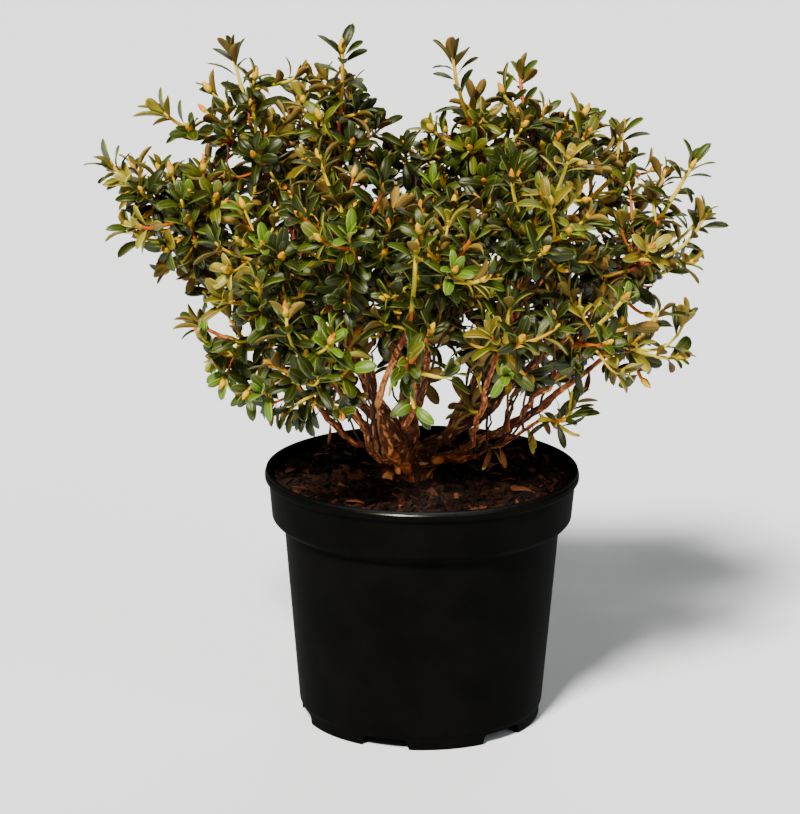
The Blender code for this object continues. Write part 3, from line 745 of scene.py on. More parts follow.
def tube(batch, line, radii, sides, slots):
    """A round limb with closed ends. Slots has one name for each stretch of the line."""
    one, two, steps = frames_along(line)
    angles = np.arange(sides) * math.tau / sides
    rings = (
        line[:, None, :]
        + (one[:, None, :] * np.cos(angles)[:, None] + two[:, None, :] * np.sin(angles)[:, None])
        * np.asarray(radii)[:, None, None]
    )
    ends = np.array([line[0] - steps[0] * radii[0] * 0.5, line[-1] + steps[-1] * radii[-1] * 0.8])
    verts = np.concatenate((rings.reshape(-1, 3), ends))
    faces, names = [], []
    last = (len(line) - 1) * sides
    foot, tip = len(line) * sides, len(line) * sides + 1
    for ring in range(len(line) - 1):
        for k in range(sides):
            a, b = ring * sides + k, ring * sides + (k + 1) % sides
            faces.append((a, b, b + sides, a + sides))
            names.append(slots[ring])
    for k in range(sides):
        after = (k + 1) % sides
        faces.append((foot, after, k, k))
        names.append(slots[0])
        faces.append((last + k, last + after, tip, tip))
        names.append(slots[-1])
    batch.add(verts, faces, names)


def stool(batch, limbs):
    """The low trunk: a core with a strand for each stem, which stands apart from the next one
    and leans into its bough, and the stubs of old shoots."""
    shares = np.linspace(0.0, 1.0, len(TRUNK_RADII))
    core = np.array([trunk_axis(share) for share in shares])
    core[0] -= UP * STOOL_UNDER_MIX
    tube(batch, core, np.array(TRUNK_RADII) * CORE_SHARE, CORE_SIDES, ["bark"] * (len(core) - 1))
    stubs = []
    for mass in MASSES:
        if mass.parent != "trunk":
            continue
        dice = random.Random(f"{mass.name} foot")
        limb = limbs[mass.name]
        joint = place_on(limb.line, dice.uniform(*STRAND_JOINS))[0]
        way = (joint - TRUNK_FOOT) * (1.0, 1.0, 0.0)
        way = unit(way + np.array((dice.uniform(-0.4, 0.4), dice.uniform(-0.4, 0.4), 0.0)) * 0.01)
        ground = TRUNK_FOOT + way * dice.uniform(*STRAND_OUT) - UP * STOOL_UNDER_MIX
        knee = ground + way * KNEE_OUT + UP * dice.uniform(*KNEE_HEIGHT)
        line = bezier((ground, knee, joint - (joint - knee) * 0.3, joint), STRAND_POINTS)
        radii = np.linspace(limb.radii[4] * STRAND_FOOT, limb.radii[4], STRAND_POINTS)
        tube(batch, line, radii, STRAND_SIDES, ["bark"] * (STRAND_POINTS - 1))
        if dice.random() < STUB_CHANCE:
            side = np.cross(way, UP) * dice.choice((-1.0, 1.0))
            foot = line[dice.randint(5, 11)]
            lean = unit(way + side * 0.8 + UP * dice.uniform(-0.2, 0.8))
            end = foot + lean * dice.uniform(*STUB_LENGTH)
            line, radii = np.linspace(foot, end, STUB_POINTS), np.linspace(*STUB_RADII, STUB_POINTS)
            tube(batch, line, radii, STUB_SIDES, ["bark"] * (STUB_POINTS - 1))
            stubs.append(end)
    return stubs


def applied(obj):
    """Replaces the object's mesh by what its modifiers make of it."""
    bpy.context.view_layer.update()
    graph = bpy.context.evaluated_depsgraph_get()
    mesh = bpy.data.meshes.new_from_object(obj.evaluated_get(graph), depsgraph=graph)
    obj.modifiers.clear()
    obj.data = mesh
    return mesh


def read(mesh, field):
    """Three numbers for each vertex."""
    found = np.empty(len(mesh.vertices) * 3, np.float32)
    mesh.vertices.foreach_get(field, found)
    return found.reshape(-1, 3).astype(float)


def store(mesh, name, kind, field, values):
    """An attribute of the vertices, for the bark's material."""
    layer = mesh.attributes.new(name, kind, "POINT")
    layer.data.foreach_set(field, values.astype(np.float32).ravel())


def wood(limbs):
    """Trunk and boughs as one seamless skin, with the bark's relief."""
    batch = Batch()
    stubs = stool(batch, limbs)
    for limb in limbs.values():
        tube(batch, limb.line, limb.radii, BOUGH_SIDES, ["bark"] * (len(limb.line) - 1))
    obj = batch.build("trunk_and_boughs")
    remesh = obj.modifiers.new("skin", "REMESH")
    remesh.mode = "VOXEL"
    remesh.voxel_size = BARK_VOXEL
    remesh.use_smooth_shade = True
    soften = obj.modifiers.new("soften", "SMOOTH")
    soften.factor = 0.5
    soften.iterations = 3
    mesh = applied(obj)
    carve_bark(mesh, limbs, stubs)
    thin_out = obj.modifiers.new("thin_out", "DECIMATE")
    thin_out.ratio = WOOD_TRIANGLES / sum(len(face.vertices) - 2 for face in mesh.polygons)
    mesh = applied(obj)
    mesh.shade_smooth()
    mesh.materials.append(bark_material())
    return obj


def by_limb(limbs, places):
    """By the nearest limb of each place: the angle round it, the way along it, its radius and the
    painted light that lightens its bark."""
    middles, ways, widths, runs, lit = [], [], [], [], []
    axis = np.array([trunk_axis(share) for share in np.linspace(0.0, 0.8, 8)])
    everything = {"trunk": Limb(axis, np.full(len(axis), TRUNK_GIRTH)), **limbs}
    for index, (name, (line, radii)) in enumerate(everything.items()):
        middles.append(line)
        ways.append(np.stack(frames_along(line), axis=1))
        widths.append(radii)
        lit.append(np.full(len(line), FRONT_STEM_PAINTED_LIGHT if name == "front_stem" else 0.0))
        runs.append(np.concatenate(([0.0], np.cumsum(spans(line)))) + GRAIN_APART * index)
    middles = np.concatenate(middles)
    tree = kdtree.KDTree(len(middles))
    for index, middle in enumerate(middles):
        tree.insert(middle, index)
    tree.balance()
    near = np.array([tree.find(place)[1] for place in places])
    local = np.einsum("nij,nj->ni", np.concatenate(ways)[near], places - middles[near])
    angle = np.arctan2(local[:, 1], local[:, 0])
    along = np.concatenate(runs)[near] + local[:, 2]
    return angle, along, np.concatenate(widths)[near], np.concatenate(lit)[near]


def carve_bark(mesh, limbs, stubs):
    """Long flakes and fissures that follow each limb, and the grain's own coordinates."""
    places = read(mesh, "co")
    angle, along, girth, painted_light = by_limb(limbs, places)
    grain = np.stack((np.cos(angle) * girth, np.sin(angle) * girth, along * GRAIN_STRETCH), axis=1)
    lumps = np.array([noise.fractal(Vector(g * LUMP_PITCH), 0.9, 2.1, 3) for g in grain])
    flakes = np.empty(len(grain))
    cracks = np.empty(len(grain))
    for index, g in enumerate(grain):
        wobble = noise.noise_vector(Vector(g * WOBBLE_PITCH)) * WOBBLE
        gaps, seeds = noise.voronoi(Vector(g * FLAKE_PITCH) + wobble)
        flakes[index] = noise.cell(seeds[0] * 7.3)
        cracks[index] = min(1.0, (gaps[1] - gaps[0]) / CRACK_WIDTH)
    depth = np.clip(girth * RELIEF_SHARE, *RELIEF_DEPTHS)
    relief = (lumps * 0.45 + (flakes - 0.5) * 0.75 - (1.0 - cracks) * 0.85) * depth
    places = places + read(mesh, "normal") * relief[:, None]
    mesh.vertices.foreach_set("co", places.astype(np.float32).ravel())
    # Flakes rubbed lighter at random, plus painted light on the front stem's bark
    worn = flakes * cracks + painted_light
    for stub in stubs:
        away = np.linalg.norm(places - stub, axis=1)
        worn = np.maximum(worn, np.clip(1.6 - away / STUB_WEAR_REACH, 0.0, 1.0))
    age = np.clip((girth - YOUNG_GIRTH) / (OLD_GIRTH - YOUNG_GIRTH), 0.0, 1.0)
    store(mesh, "worn", "FLOAT", "value", worn)
    store(mesh, "grain", "FLOAT_VECTOR", "vector", grain)
    store(mesh, "age", "FLOAT", "value", age)
    mesh.update()


def bark_material():
    """Dark cracks and brown flakes, some rubbed to a light tan, and the front stem lightened with painted
    light; redder on the thin limbs.
    """
    look = Look("bark", 0.25, 0.8)
    grain, age, worn = (look.node("Attribute") for _ in range(3))
    grain.attribute_name, age.attribute_name, worn.attribute_name = "grain", "age", "worn"
    patches = look.node("TexNoise", Scale=900.0, Detail=6.0, Roughness=0.65)
    look.link(grain, "Vector", patches, "Vector")
    mixed = look.node("Math")
    mixed.operation = "MULTIPLY_ADD"
    mixed.inputs[1].default_value = 0.55
    look.link(worn, "Fac", mixed, 0)
    look.link(patches, "Fac", mixed, 2)
    blend = look.node("Mix")
    blend.data_type = "RGBA"
    look.link(age, "Fac", blend, "Factor")
    look.link(look.ramp(mixed, "Value", YOUNG_BARK), "Color", blend, "A")
    look.link(look.ramp(mixed, "Value", OLD_BARK), "Color", blend, "B")
    look.link(blend, "Result", look.shader, "Base Color")
    look.relief(patches, 1.0, 0.0008)
    return look.material


# The photograph's view of the crown
def sight_axes():
    """To the right, upwards and forwards, as the camera has them."""
    forward = np.array((0.0, math.cos(CAMERA_PITCH), -math.sin(CAMERA_PITCH)))
    right = np.array((1.0, 0.0, 0.0))
    upward = np.cross(right, forward)
    turn, hold = math.sin(CAMERA_ROLL), math.cos(CAMERA_ROLL)
    return hold * right + turn * upward, hold * upward - turn * right, forward


SIGHT = sight_axes()


def seen(places):
    """Where places show in the photograph, in its pixels."""
    away = np.atleast_2d(places) - CAMERA_PLACE
    across, up, depth = (away @ axis for axis in SIGHT)
    x = PICTURE_WIDTH / 2 + CAMERA_FOCUS * across / depth
    y = PICTURE_HEIGHT / 2 - CAMERA_FOCUS * up / depth
    return np.stack((x, y), axis=1)


def crossing(places):
    """The share of the places that shows in a clearing."""
    away = (seen(places)[:, None, :] - CLEARINGS[:, :2]) / CLEARINGS[:, 2:]
    return float((np.linalg.norm(away, axis=2) < 1.0).any(axis=1).mean())


def in_clearing(places):
    return crossing(places) > 0.0


def shown_limbs(limbs):
    """Pixels, depth and margin of the stretches of limbs that show between the lower leaves."""
    kept = []
    for name, (margin, below) in SHOWN_LIMBS.items():
        line = limbs[name].line
        rows = np.concatenate((seen(line), line[:, 1:2], np.full((len(line), 1), margin)), axis=1)
        kept.append(rows[rows[:, 1] > below])
    return np.concatenate(kept)


def hides_limb(places, shown):
    """Whether one of the places hangs in front of such a stretch."""
    pixels, depth = seen(places), np.atleast_2d(places)[:, 1]
    near = np.linalg.norm(pixels[:, None, :] - shown[:, :2], axis=2) < shown[:, 3]
    return bool((near & (depth[:, None] < shown[:, 2])).any())


class Space:
    """The space of a mass: a ball, cut by the planes that part it from its neighbours."""

    def __init__(self, mass):
        self.centre = np.array(mass.centre)
        self.reach = mass.reach
        others = [other for other in MASSES if other is not mass]
        away = np.array([other.centre for other in others]) - self.centre
        distances = np.linalg.norm(away, axis=1)
        self.normals = away / distances[:, None]
        reaches = np.array([other.reach for other in others])
        self.walls = (distances**2 + self.reach**2 - reaches**2) / (2.0 * distances)

    def room(self, place):
        """How far the place lies from the nearest wall."""
        return float((self.walls - (place - self.centre) @ self.normals.T).min())

    def holds(self, points, inset=0.0, stretch=1.0):
        away = np.atleast_2d(points) - self.centre
        if (np.linalg.norm(away, axis=1) > self.reach * stretch).any():
            return False
        return bool((away @ self.normals.T <= self.walls - SPACE_GAP - inset).all())


class Spread(NamedTuple):
    """A kind of shoot, and how the tries for it are spread over a mass."""

    kind: str
    nearest: float
    furthest: float
    inward_limit: float
    inset: float
    wall_weight: float


COARSE = Spread("coarse", 0.50, 0.80, -0.25, TIP_INSET, 2.0)
FINE = Spread("fine", 0.30, 0.90, -0.80, 0.0, 6.0)


class Tip(NamedTuple):
    """The place of a rosette, its kind of shoot (leader, coarse, high, arc, front, low, fine or
    inner), and the corner that an arc rounds."""

    place: np.ndarray
    kind: str
    corner: tuple = ()


def shoot_tips(mass, space, limb):
    """Places of the rosettes: the leaders and the solids' own, then the further high ones and the
    arcs, the finer ones, and last those of the short inner shoots along the bough."""

    def placed(places, kind):
        return [Tip(np.array(place), kind) for place in places.get(mass.name, ())]

    tips = placed(LEADERS, "leader")
    outward = unit(space.centre - CROWN_HEART)
    count = round(mass.reach / SHOOT_SHARE)
    for index in range(count - len(tips)):
        pick(mass, space, tips, outward, index, COARSE)
    tips += placed(HIGH_SHOOTS, "high") + placed(LOW_SHOOTS, "low")
    for corner, place in ARCS.get(mass.name, ()):
        tips.append(Tip(np.array(place), "front" if mass.name == "front_low" else "arc", corner))
    fine = round(mass.reach / FINE_SHARE * THINNER.get(mass.name, 1.0))
    for index in range(count, fine):
        pick(mass, space, tips, outward, index, FINE)
    for index in range(INNER_SHOOTS):
        dice = random.Random(f"{mass.name} inner {index}")
        place = place_on(limb.line, dice.uniform(0.40, 0.95))[0]
        way = unit(scatter(dice, 1.0) + 0.7 * UP)
        place = place + way * dice.uniform(*INNER_REACH)
        if place[2] > LOWEST_INNER and not in_clearing(place):
            tips.append(Tip(place, "inner"))
    return tips


def skirt_height(mass, place):
    lowest, slope = SKIRT.get(mass.name, (0.0, 0.0))
    return lowest + slope * max(0.0, place[0] - SKIRT_CORNER)


def pick(mass, space, tips, outward, index, spread):
    """Adds the try that lies furthest from the earlier tips and from the walls."""
    dice = random.Random(f"{mass.name} tip {index}")
    best, best_gap = None, 0.0
    for _ in range(TRIES):
        way = unit(scatter(dice, 1.0))
        if way @ outward < spread.inward_limit:
            way = -way
        place = space.centre + way * mass.reach * dice.uniform(spread.nearest, spread.furthest)
        if not space.holds(place, spread.inset):
            continue
        if spread is FINE and (place[2] < skirt_height(mass, place) or in_clearing(place)):
            continue
        gap = min((np.linalg.norm(place - tip.place) for tip in tips), default=1.0)
        gap = min(gap, spread.wall_weight * space.room(place))
        if gap > best_gap:
            best, best_gap = place, gap
    if best is not None:
        tips.append(Tip(best, spread.kind))


class Twig(NamedTuple):
    """A shoot: its number in the mass, its line and its kind."""

    number: int
    line: np.ndarray
    kind: str


def leave_from(tip, sources):
    """Where a twig to this tip leaves its sources, its direction there, and the way walked to that
    place from the base. A source is a line, the way walked to its foot, and shares of it."""
    best, found = math.inf, None
    for line, foot, shares in sources:
        length = spans(line).sum()
        for share in shares:
            place, along = place_on(line, share)
            walked = foot + share * length
            onward = unit(tip - place)
            turning = 1.0 + TURN_COST * (1.0 - onward @ along)
            cost = np.linalg.norm(tip - place) * turning
            if cost + WAY_WEIGHT * walked < best:
                best = cost + WAY_WEIGHT * walked
                found = place, unit(along + onward), walked
    return found


def grow(mass, space, limb, tips, shown):
    """A stem to the first tip, and a twig to each other tip from the place on an earlier one
    that keeps its whole way from the base short. Twigs that the solids lack may leave the bough as
    well, an arc leaves the bough's tip, and the front's arc leaves the front stem."""
    heading = unit(limb.line[-1] - limb.line[-2])
    outward = unit(space.centre - CROWN_HEART)
    lowness = how_low(space.centre)
    upper_limb = (limb.line[len(limb.line) // 2 :], -0.02, BOUGH_PLACES)
    twigs, sources = [], []
    for number, (tip, kind, corner) in enumerate(tips):
        start, leave, walked = limb.line[-1], heading, 0.0
        solid = kind in ("leader", "coarse")
        if kind == "front":
            start = np.array(FRONT_STEM[-1])
            leave = unit(start - FRONT_STEM[-2])
        elif number and not corner:
            start, leave, walked = leave_from(tip, sources if solid else [*sources, upper_limb])
        bow = TWIG_BOW * np.linalg.norm(tip - start)
        to_sky = LOW_TO_SKY if kind == "low" else TWIG_TO_SKY + (0.0 if solid else FINE_TO_SKY * lowness)
        arrive = unit(unit(tip - start) + to_sky * UP + TWIG_TO_OUTSIDE * outward)
        turning_at = corner if corner else tip - arrive * bow
        line = bezier((start, start + leave * bow, turning_at, tip), TWIG_POINTS)
        if kind in ("fine", "inner") and number:
            if crossing(line) > MOST_CROSSING or hides_limb(line[TWIG_POINTS // 2 :], shown):
                continue
        sources.append((line, walked, FORK_PLACES))
        twigs.append(Twig(number, line, kind))
    return twigs


def how_low(place):
    """1 for the lowest leaves, which spread level, and 0 for the upper ones, which rise."""
    return float(np.clip((LOW_TO - place[2]) / LOW_DEPTH, 0.0, 1.0))


def bare_twigs(batch, mass, limb):
    """Thin dark dead twigs inside the crown, which rise with small kinks."""
    dice = random.Random(f"{mass.name} bare")
    for _ in range(BARE_TWIGS):
        start, along = place_on(limb.line, dice.uniform(0.30, 0.90))
        for _ in range(dice.randint(1, 3)):
            way = unit(along * 0.6 + UP * 0.9 + scatter(dice, 0.35))
            way = unit(way * (1.0, 1.0, 0.0) + UP * max(way[2], 0.35))
            reach = dice.uniform(*BARE_REACH)
            bend = scatter(dice, 0.08) * reach
            line = bezier((start, start + way * reach * 0.5 + bend, start + way * reach), TWIG_POINTS)
            kinks = np.array([scatter(dice, BARE_KINK) for _ in range(TWIG_POINTS)])
            line[1:] += kinks[1:]
            radii = np.linspace(BARE_RADIUS, BARE_RADIUS * 0.55, TWIG_POINTS)
            tube(batch, line, radii, BARE_SIDES, [dice.choice(BARE_BARKS)] * (TWIG_POINTS - 1))
            start, along = place_on(line, dice.uniform(0.3, 0.7))


# Leaves: a ring of eight corners along the blade, drawn in to a point at the root and at the tip.
LEAF_STATIONS = (0.10, 0.29, 0.51, 0.73, 0.90)
LEAF_WIDTHS = (0.29, 0.34, 0.39)
NARROW_WIDTHS = (0.17, 0.21, 0.26)
NARROW_LEAVED = ("lowest_right",)
LEAF_POSES = ((0.25, 0.08, 0.2), (0.40, 0.20, -0.3), (0.15, 0.14, 0.4), (0.55, 0.02, -0.1))
RIM = 0.86
RIB = 0.045
LEAF_COLUMNS = (-1.0, -RIM, -RIB, RIB, RIM, 1.0)
RIM_ROLL = 0.30
STALK_HALF = 0.030
BLADE_THICKNESS = 0.018
BLADE_ARCH = 0.05
LEAF_STRIPS = ("rib", "upper", "rib", "upper", "rib", "under", "rib", "under")


def blade_width(share):
    """Half width along the blade, 1 at its widest, which is a little past the middle."""
    rise, fall = 0.82, 0.58
    widest = rise / (rise + fall)
    peak = widest**rise * (1.0 - widest) ** fall
    return share**rise * (1.0 - share) ** fall / peak


def leaf_shape(width, fold, curl, twist):
    """A leaf of length 1 along +Z with its upper side to +Y."""
    rows = [np.zeros((1, 3))]
    stations = [(0.0, STALK_HALF, 0.0)]
    stations += [(share, width / 2 * blade_width(share), 1.0) for share in LEAF_STATIONS]
    for share, half, open_share in stations:
        rise = PETIOLE + (1.0 - PETIOLE) * share
        lift = fold * open_share
        roll = RIM_ROLL * open_share
        across = [half * column for column in LEAF_COLUMNS]
        height = [
            half * (lift * abs(column) - roll * max(0.0, (abs(column) - RIM) / (1 - RIM)))
            for column in LEAF_COLUMNS
        ]
        across += [half * RIB * 1.5, -half * RIB * 1.5]
        height += [-BLADE_THICKNESS, -BLADE_THICKNESS]
        turn = twist * share
        x = np.array(across) * math.cos(turn) - np.array(height) * math.sin(turn)
        y = np.array(across) * math.sin(turn) + np.array(height) * math.cos(turn)
        y = y - curl * share**2 + BLADE_ARCH * math.sin(math.pi * share)
        rows.append(np.stack((x, y, np.full(8, rise - 0.35 * curl * share**2)), axis=1))
    rows.append(np.array([[0.0, -curl - 0.004, 1.0 - 0.35 * curl]]))
    faces, places = skin(len(stations), len(LEAF_STRIPS))
    roles = ["petiole" if ring < 0 else LEAF_STRIPS[strip] for ring, strip in places]
    return np.concatenate(rows), faces, roles


def leaf_shapes(widths):
    return [leaf_shape(width, *pose) for width in widths for pose in LEAF_POSES]


def put_leaf(batch, kind, root, along, upper, length, tint):
    verts, faces, roles = kind
    side = np.cross(upper, along)
    placed = verts @ (np.array((side, upper, along)) * length) + root
    slots = [role if role == "petiole" else f"leaf_{tint}_{role}" for role in roles]
    batch.add(placed, faces, slots)


# Buds: a plump spindle with ridged scales, and the zone of the faces from its foot to its tip.
BUD_RINGS = ((0.0, 0.50), (0.10, 0.80), (0.28, 1.0), (0.48, 0.97), (0.68, 0.74), (0.86, 0.40))
BUD_ZONES = ("foot", "foot", "foot", "body", "body", "tip", "tip")
BUD_SIDES = 9


def bud_shape():
    verts = [np.zeros((1, 3))]
    for ring, (rise, radius) in enumerate(BUD_RINGS):
        angles = np.arange(BUD_SIDES) * math.tau / BUD_SIDES + ring * 0.35
        ridges = radius * (1.0 + 0.07 * np.cos(3.0 * (angles + ring)))
        heights = np.full(BUD_SIDES, rise)
        verts.append(np.stack((ridges * np.cos(angles), ridges * np.sin(angles), heights), 1))
    verts.append(np.array([[0.0, 0.0, 1.0]]))
    faces, places = skin(len(BUD_RINGS), BUD_SIDES)
    return np.concatenate(verts), faces, [BUD_ZONES[ring + 1] for ring, _ in places]


BUD_COLOURS = [
    dict(zip(("foot", "body", "tip"), colours))
    for colours in (
        ("bud_foot", "bud_gold", "bud_gold"),
        ("bud_foot", "bud_gold", "bud_gold"),
        ("bud_foot", "bud_gold", "bud_orange"),
        ("bud_gold", "bud_orange", "bud_orange"),
        ("bud_foot", "bud_gold", "bud_blush"),
    )
]


def put_bud(batch, kind, root, along, length, radius, colours):
    verts, faces, roles = kind
    side = unit(np.cross(along, (0.4, 0.3, 0.8)))
    across = np.cross(along, side)
    scale = np.array((radius, radius, length))
    placed = (verts * scale) @ np.array((side, across, along)) + root
    batch.add(placed, faces, [colours[role] for role in roles])


def spray_tint(dice, place):
    """The tint of a whole spray, by its place: brassy at the top, the outside and the right, partly as
    painted light, darker inside the crown as painted shade, fresh low in front.
    """
    height = (place[2] - 0.23) / 0.27
    outside = np.linalg.norm((place - CROWN_HEART) * (1.0, 1.0, 0.9)) / 0.22
    front = max(0.0, -place[1] / 0.15)
    # Painted light: more olive, bronze and brass tints on the crown's right side
    painted_sun = 0.70 + 4.5 * max(0.0, place[0] - 0.09)
    # Painted shade: the deep tint weighs more inside the crown; the brassy tints at the top and outside are
    # partly young leaves, partly painted light
    weights = {
        "deep": 1.3 + 1.0 * (1.0 - outside),
        "mid": 1.5,
        "fresh": 0.08 + 1.5 * front * max(0.0, 1.0 - 1.3 * height),
        "olive": 0.15 + 0.55 * max(0.0, height) * painted_sun,
        "bronze": 0.01 + 0.20 * max(0.0, height) * outside * painted_sun,
        "brass": 0.01 + 0.26 * max(0.0, height) * outside * painted_sun,
    }
    weights = {tint: max(0.0, weight) for tint, weight in weights.items()}
    return dice.choices(list(weights), list(weights.values()))[0]


OLDER_TINT = {
    "deep": "deep",
    "mid": "deep",
    "fresh": "mid",
    "olive": "mid",
    "bronze": "olive",
    "brass": "bronze",
}

# A shoot's leaves: a close whorl under the bud, and looser ones below it.
BLADE_TESTS = np.array(((0.35,), (0.60,), (0.85,)))
WHORL_SIZES = (0.66, 0.78, 0.88, 0.95, 1.0, 1.0)
LEADER_WHORL_SIZES = (0.86, 0.95, 1.02, 1.06, 1.06, 1.0)
WHORL = len(WHORL_SIZES)


class Tier(NamedTuple):
    """How far the first leaf sits below the tip and opens, in degrees, what each further leaf adds,
    and how far a leaf strays."""

    down: float
    down_step: float
    stray: tuple
    opening: float
    opening_step: float


WHORL_TIER = Tier(0.0006, 0.0013, (0.0, 0.0015), 22.0, 8.0)
LOWER_TIER = Tier(0.010, 0.0062, (-0.0025, 0.0025), 66.0, 4.0)
LOWER_SIZE = 0.94
OLDER_FROM = 5
FREE_KINDS = ("leader", "arc", "front", "low", "inner")
MORE_LEAVES = {"leader": 9, "high": 4, "arc": 6, "front": 9, "low": 3}
YOUNG_BARKS = ("shoot_yellow", "shoot_yellow", "shoot_gold", "shoot_gold", "shoot_orange")
BARK_AGES = ((0.105, "twig_brown"), (0.060, "twig_red"), (0.048, "shoot_orange"))


class Growth:
    """The three pieces of one mass."""

    def __init__(self):
        self.leaves, self.twigs, self.buds = Batch(), Batch(), Batch()


def bark_of(left, young):
    """The bark this far from the shoot's tip: older bark is browner."""
    return next((bark for limit, bark in BARK_AGES if left > limit), young)


def dress(growth, mass, space, twig, kinds, bud, shown):
    """Bark, leaves and bud of one shoot."""
    dice = random.Random(f"{mass.name} shoot {twig.number}")
    turn = dice.uniform(0.0, math.tau)
    line = twig.line
    length = spans(line).sum()
    thick, thin = SHOOT_RADII[twig.kind]
    radii = np.linspace(thick if twig.number else STEM_RADIUS, thin, len(line))
    # Inner shoots take the deep tint as painted shade
    tint = "deep" if twig.kind == "inner" else spray_tint(dice, line[-1])
    young = dice.choice(YOUNG_BARKS)
    if twig.kind in ("arc", "front"):
        young, tint = "shoot_yellow", "mid"
    stretches = len(line) - 1
    slots = [bark_of(length * (1.0 - stretch / stretches), young) for stretch in range(stretches)]
    tube(growth.twigs, line, radii, TWIG_SIDES, slots)
    count = dice.randint(*(LEAF_COUNT if length > SHORT_SHOOT else SHORT_LEAF_COUNT))
    count += MORE_LEAVES.get(twig.kind, 0)
    lowness = how_low(line[-1])
    budded = dice.random() < BUD_CHANCE - LOW_BUD_LOSS * lowness
    whorl_sizes = LEADER_WHORL_SIZES if twig.kind == "leader" else WHORL_SIZES
    stretch = LEADER_STRETCH if twig.kind in MORE_LEAVES else LEAF_STRETCH
    kept = 0
    for index in range(count):
        whorl = index < WHORL
        tier, order = (WHORL_TIER, index) if whorl else (LOWER_TIER, index - WHORL)
        down = tier.down + tier.down_step * order + dice.uniform(*tier.stray)
        root, axis = place_on(line, 1.0 - min(0.75, down / length))
        side = unit(np.cross(axis, (0.3, 0.9, 0.2)))
        across = np.cross(axis, side)
        angle = turn + GOLDEN_ANGLE * index + dice.uniform(-0.25, 0.25)
        opening = math.radians(tier.opening + tier.opening_step * order) + dice.uniform(-0.20, 0.20)
        size = LEAF_LENGTH * dice.uniform(0.80, 1.16)
        roll = dice.gauss(0.0, LEAF_ROLL)
        size *= whorl_sizes[index] if whorl else LOWER_SIZE
        if not budded:
            opening *= 0.8
        kind = kinds[dice.randrange(len(kinds))]
        for nudge, closing in ((0.0, 1.0), (0.5, 0.9), (-0.5, 0.9), (0.0, 0.6)):
            spoke = side * math.cos(angle + nudge) + across * math.sin(angle + nudge)
            along = axis * math.cos(opening * closing) + spoke * math.sin(opening * closing)
            upper = axis * math.sin(opening * closing) - spoke * math.cos(opening * closing)
            sky = UP - along * along[2]
            facing = unit(upper + (0.15 + 0.75 * lowness) * sky)
            facing = facing * math.cos(roll) + np.cross(along, facing) * math.sin(roll)
            tip = root + along * size
            blade = root + along * (size * BLADE_TESTS)
            if in_clearing(blade) or hides_limb(blade, shown):
                continue
            if twig.kind in FREE_KINDS or space.holds(tip, -LEAF_OVER_WALL, stretch):
                leaf_tint = tint if index < OLDER_FROM else OLDER_TINT[tint]
                put_leaf(growth.leaves, kind, root, along, facing, size, leaf_tint)
                kept += 1
                break
    if budded:
        axis = unit(line[-1] - line[-2])
        big = dice.uniform(0.8, 1.15)
        colours = BUD_COLOURS[dice.randrange(len(BUD_COLOURS))]
        foot = line[-1] - axis * BUD_SUNK
        put_bud(growth.buds, bud, foot, axis, BUD_LENGTH * big, BUD_RADIUS * big, colours)
    return kept


def foliage(mass, limb, kinds, bud, palette, shown):
    """The pieces that stand for one mass of the solids."""
    space = Space(mass)
    growth = Growth()
    tips = shoot_tips(mass, space, limb)
    total = 0
    for twig in grow(mass, space, limb, tips, shown):
        total += dress(growth, mass, space, twig, kinds, bud, shown)
    bare_twigs(growth.twigs, mass, limb)
    pieces = (
        (growth.leaves, f"leaves_{mass.name}", "leaves"),
        (growth.twigs, f"twigs_{mass.name}", "bark"),
        (growth.buds, f"buds_{mass.name}", "leaves"),
    )
    for batch, name, slot in pieces:
        settle(batch.build(name, palette), slot, f"foliage_{mass.name}")
    return total


# Pot
def rounded(corners, radius, points=4):
    """The outline with each inner corner cut to a small arc."""
    made = [np.array(corners[0])]
    for before, corner, after in zip(corners, corners[1:], corners[2:]):
        before, corner, after = map(np.array, (before, corner, after))
        to_before, to_after = before - corner, after - corner
        cut = min(radius, 0.45 * np.linalg.norm(to_before), 0.45 * np.linalg.norm(to_after))
        start = corner + unit(to_before) * cut
        end = corner + unit(to_after) * cut
        made.extend(bezier((start, corner, end), points))
    made.append(np.array(corners[-1]))
    return made


def turned(name, outline, steps):
    """The outline turned about the Z axis."""
    shape = bmesh.new()
    points = [shape.verts.new((float(x), 0.0, float(z))) for x, z in outline]
    for start, end in zip(points, points[1:]):
        shape.edges.new((start, end))
    bmesh.ops.remove_doubles(shape, verts=shape.verts, dist=0.000001)
    obj = linked(name, mesh_of(name, shape))
    screw = obj.modifiers.new("turn", "SCREW")
    screw.steps = screw.render_steps = steps
    screw.use_merge_vertices = True
    screw.merge_threshold = 0.00001
    return obj


def inner_wall_radius(height):
    share = (height - WALL_FOOT) / (WALL_TOP - WALL_FOOT)
    return WALL_FOOT_RADIUS + share * (WALL_TOP_RADIUS - WALL_FOOT_RADIUS) - WALL_THICKNESS


def inner_collar_radius(height):
    """The collar's inner side, which widens evenly from its foot to the lip."""
    foot = COLLAR_FOOT_RADIUS - WALL_THICKNESS
    share = (height - COLLAR_FOOT) / (POT_HEIGHT - INNER_LIP_DROP - COLLAR_FOOT)
    return foot + share * (LIP_RADIUS - LIP_WIDTH - foot)


def rim_slot(place):
    """The slot of a face of the pot: the lip's front is made shiny as a painted highlight, less so to the
    sides.
    """
    inside = math.hypot(place.x, place.y) < LIP_RADIUS - RIM_SHINE_WIDTH
    if inside or place.z < POT_HEIGHT - RIM_SHINE or place.y > 0.0 or abs(place.x) > RIM_SHINE_REACH:
        return 0
    return 1 + int(RIM_STEPS * abs(place.x) / RIM_SHINE_REACH)


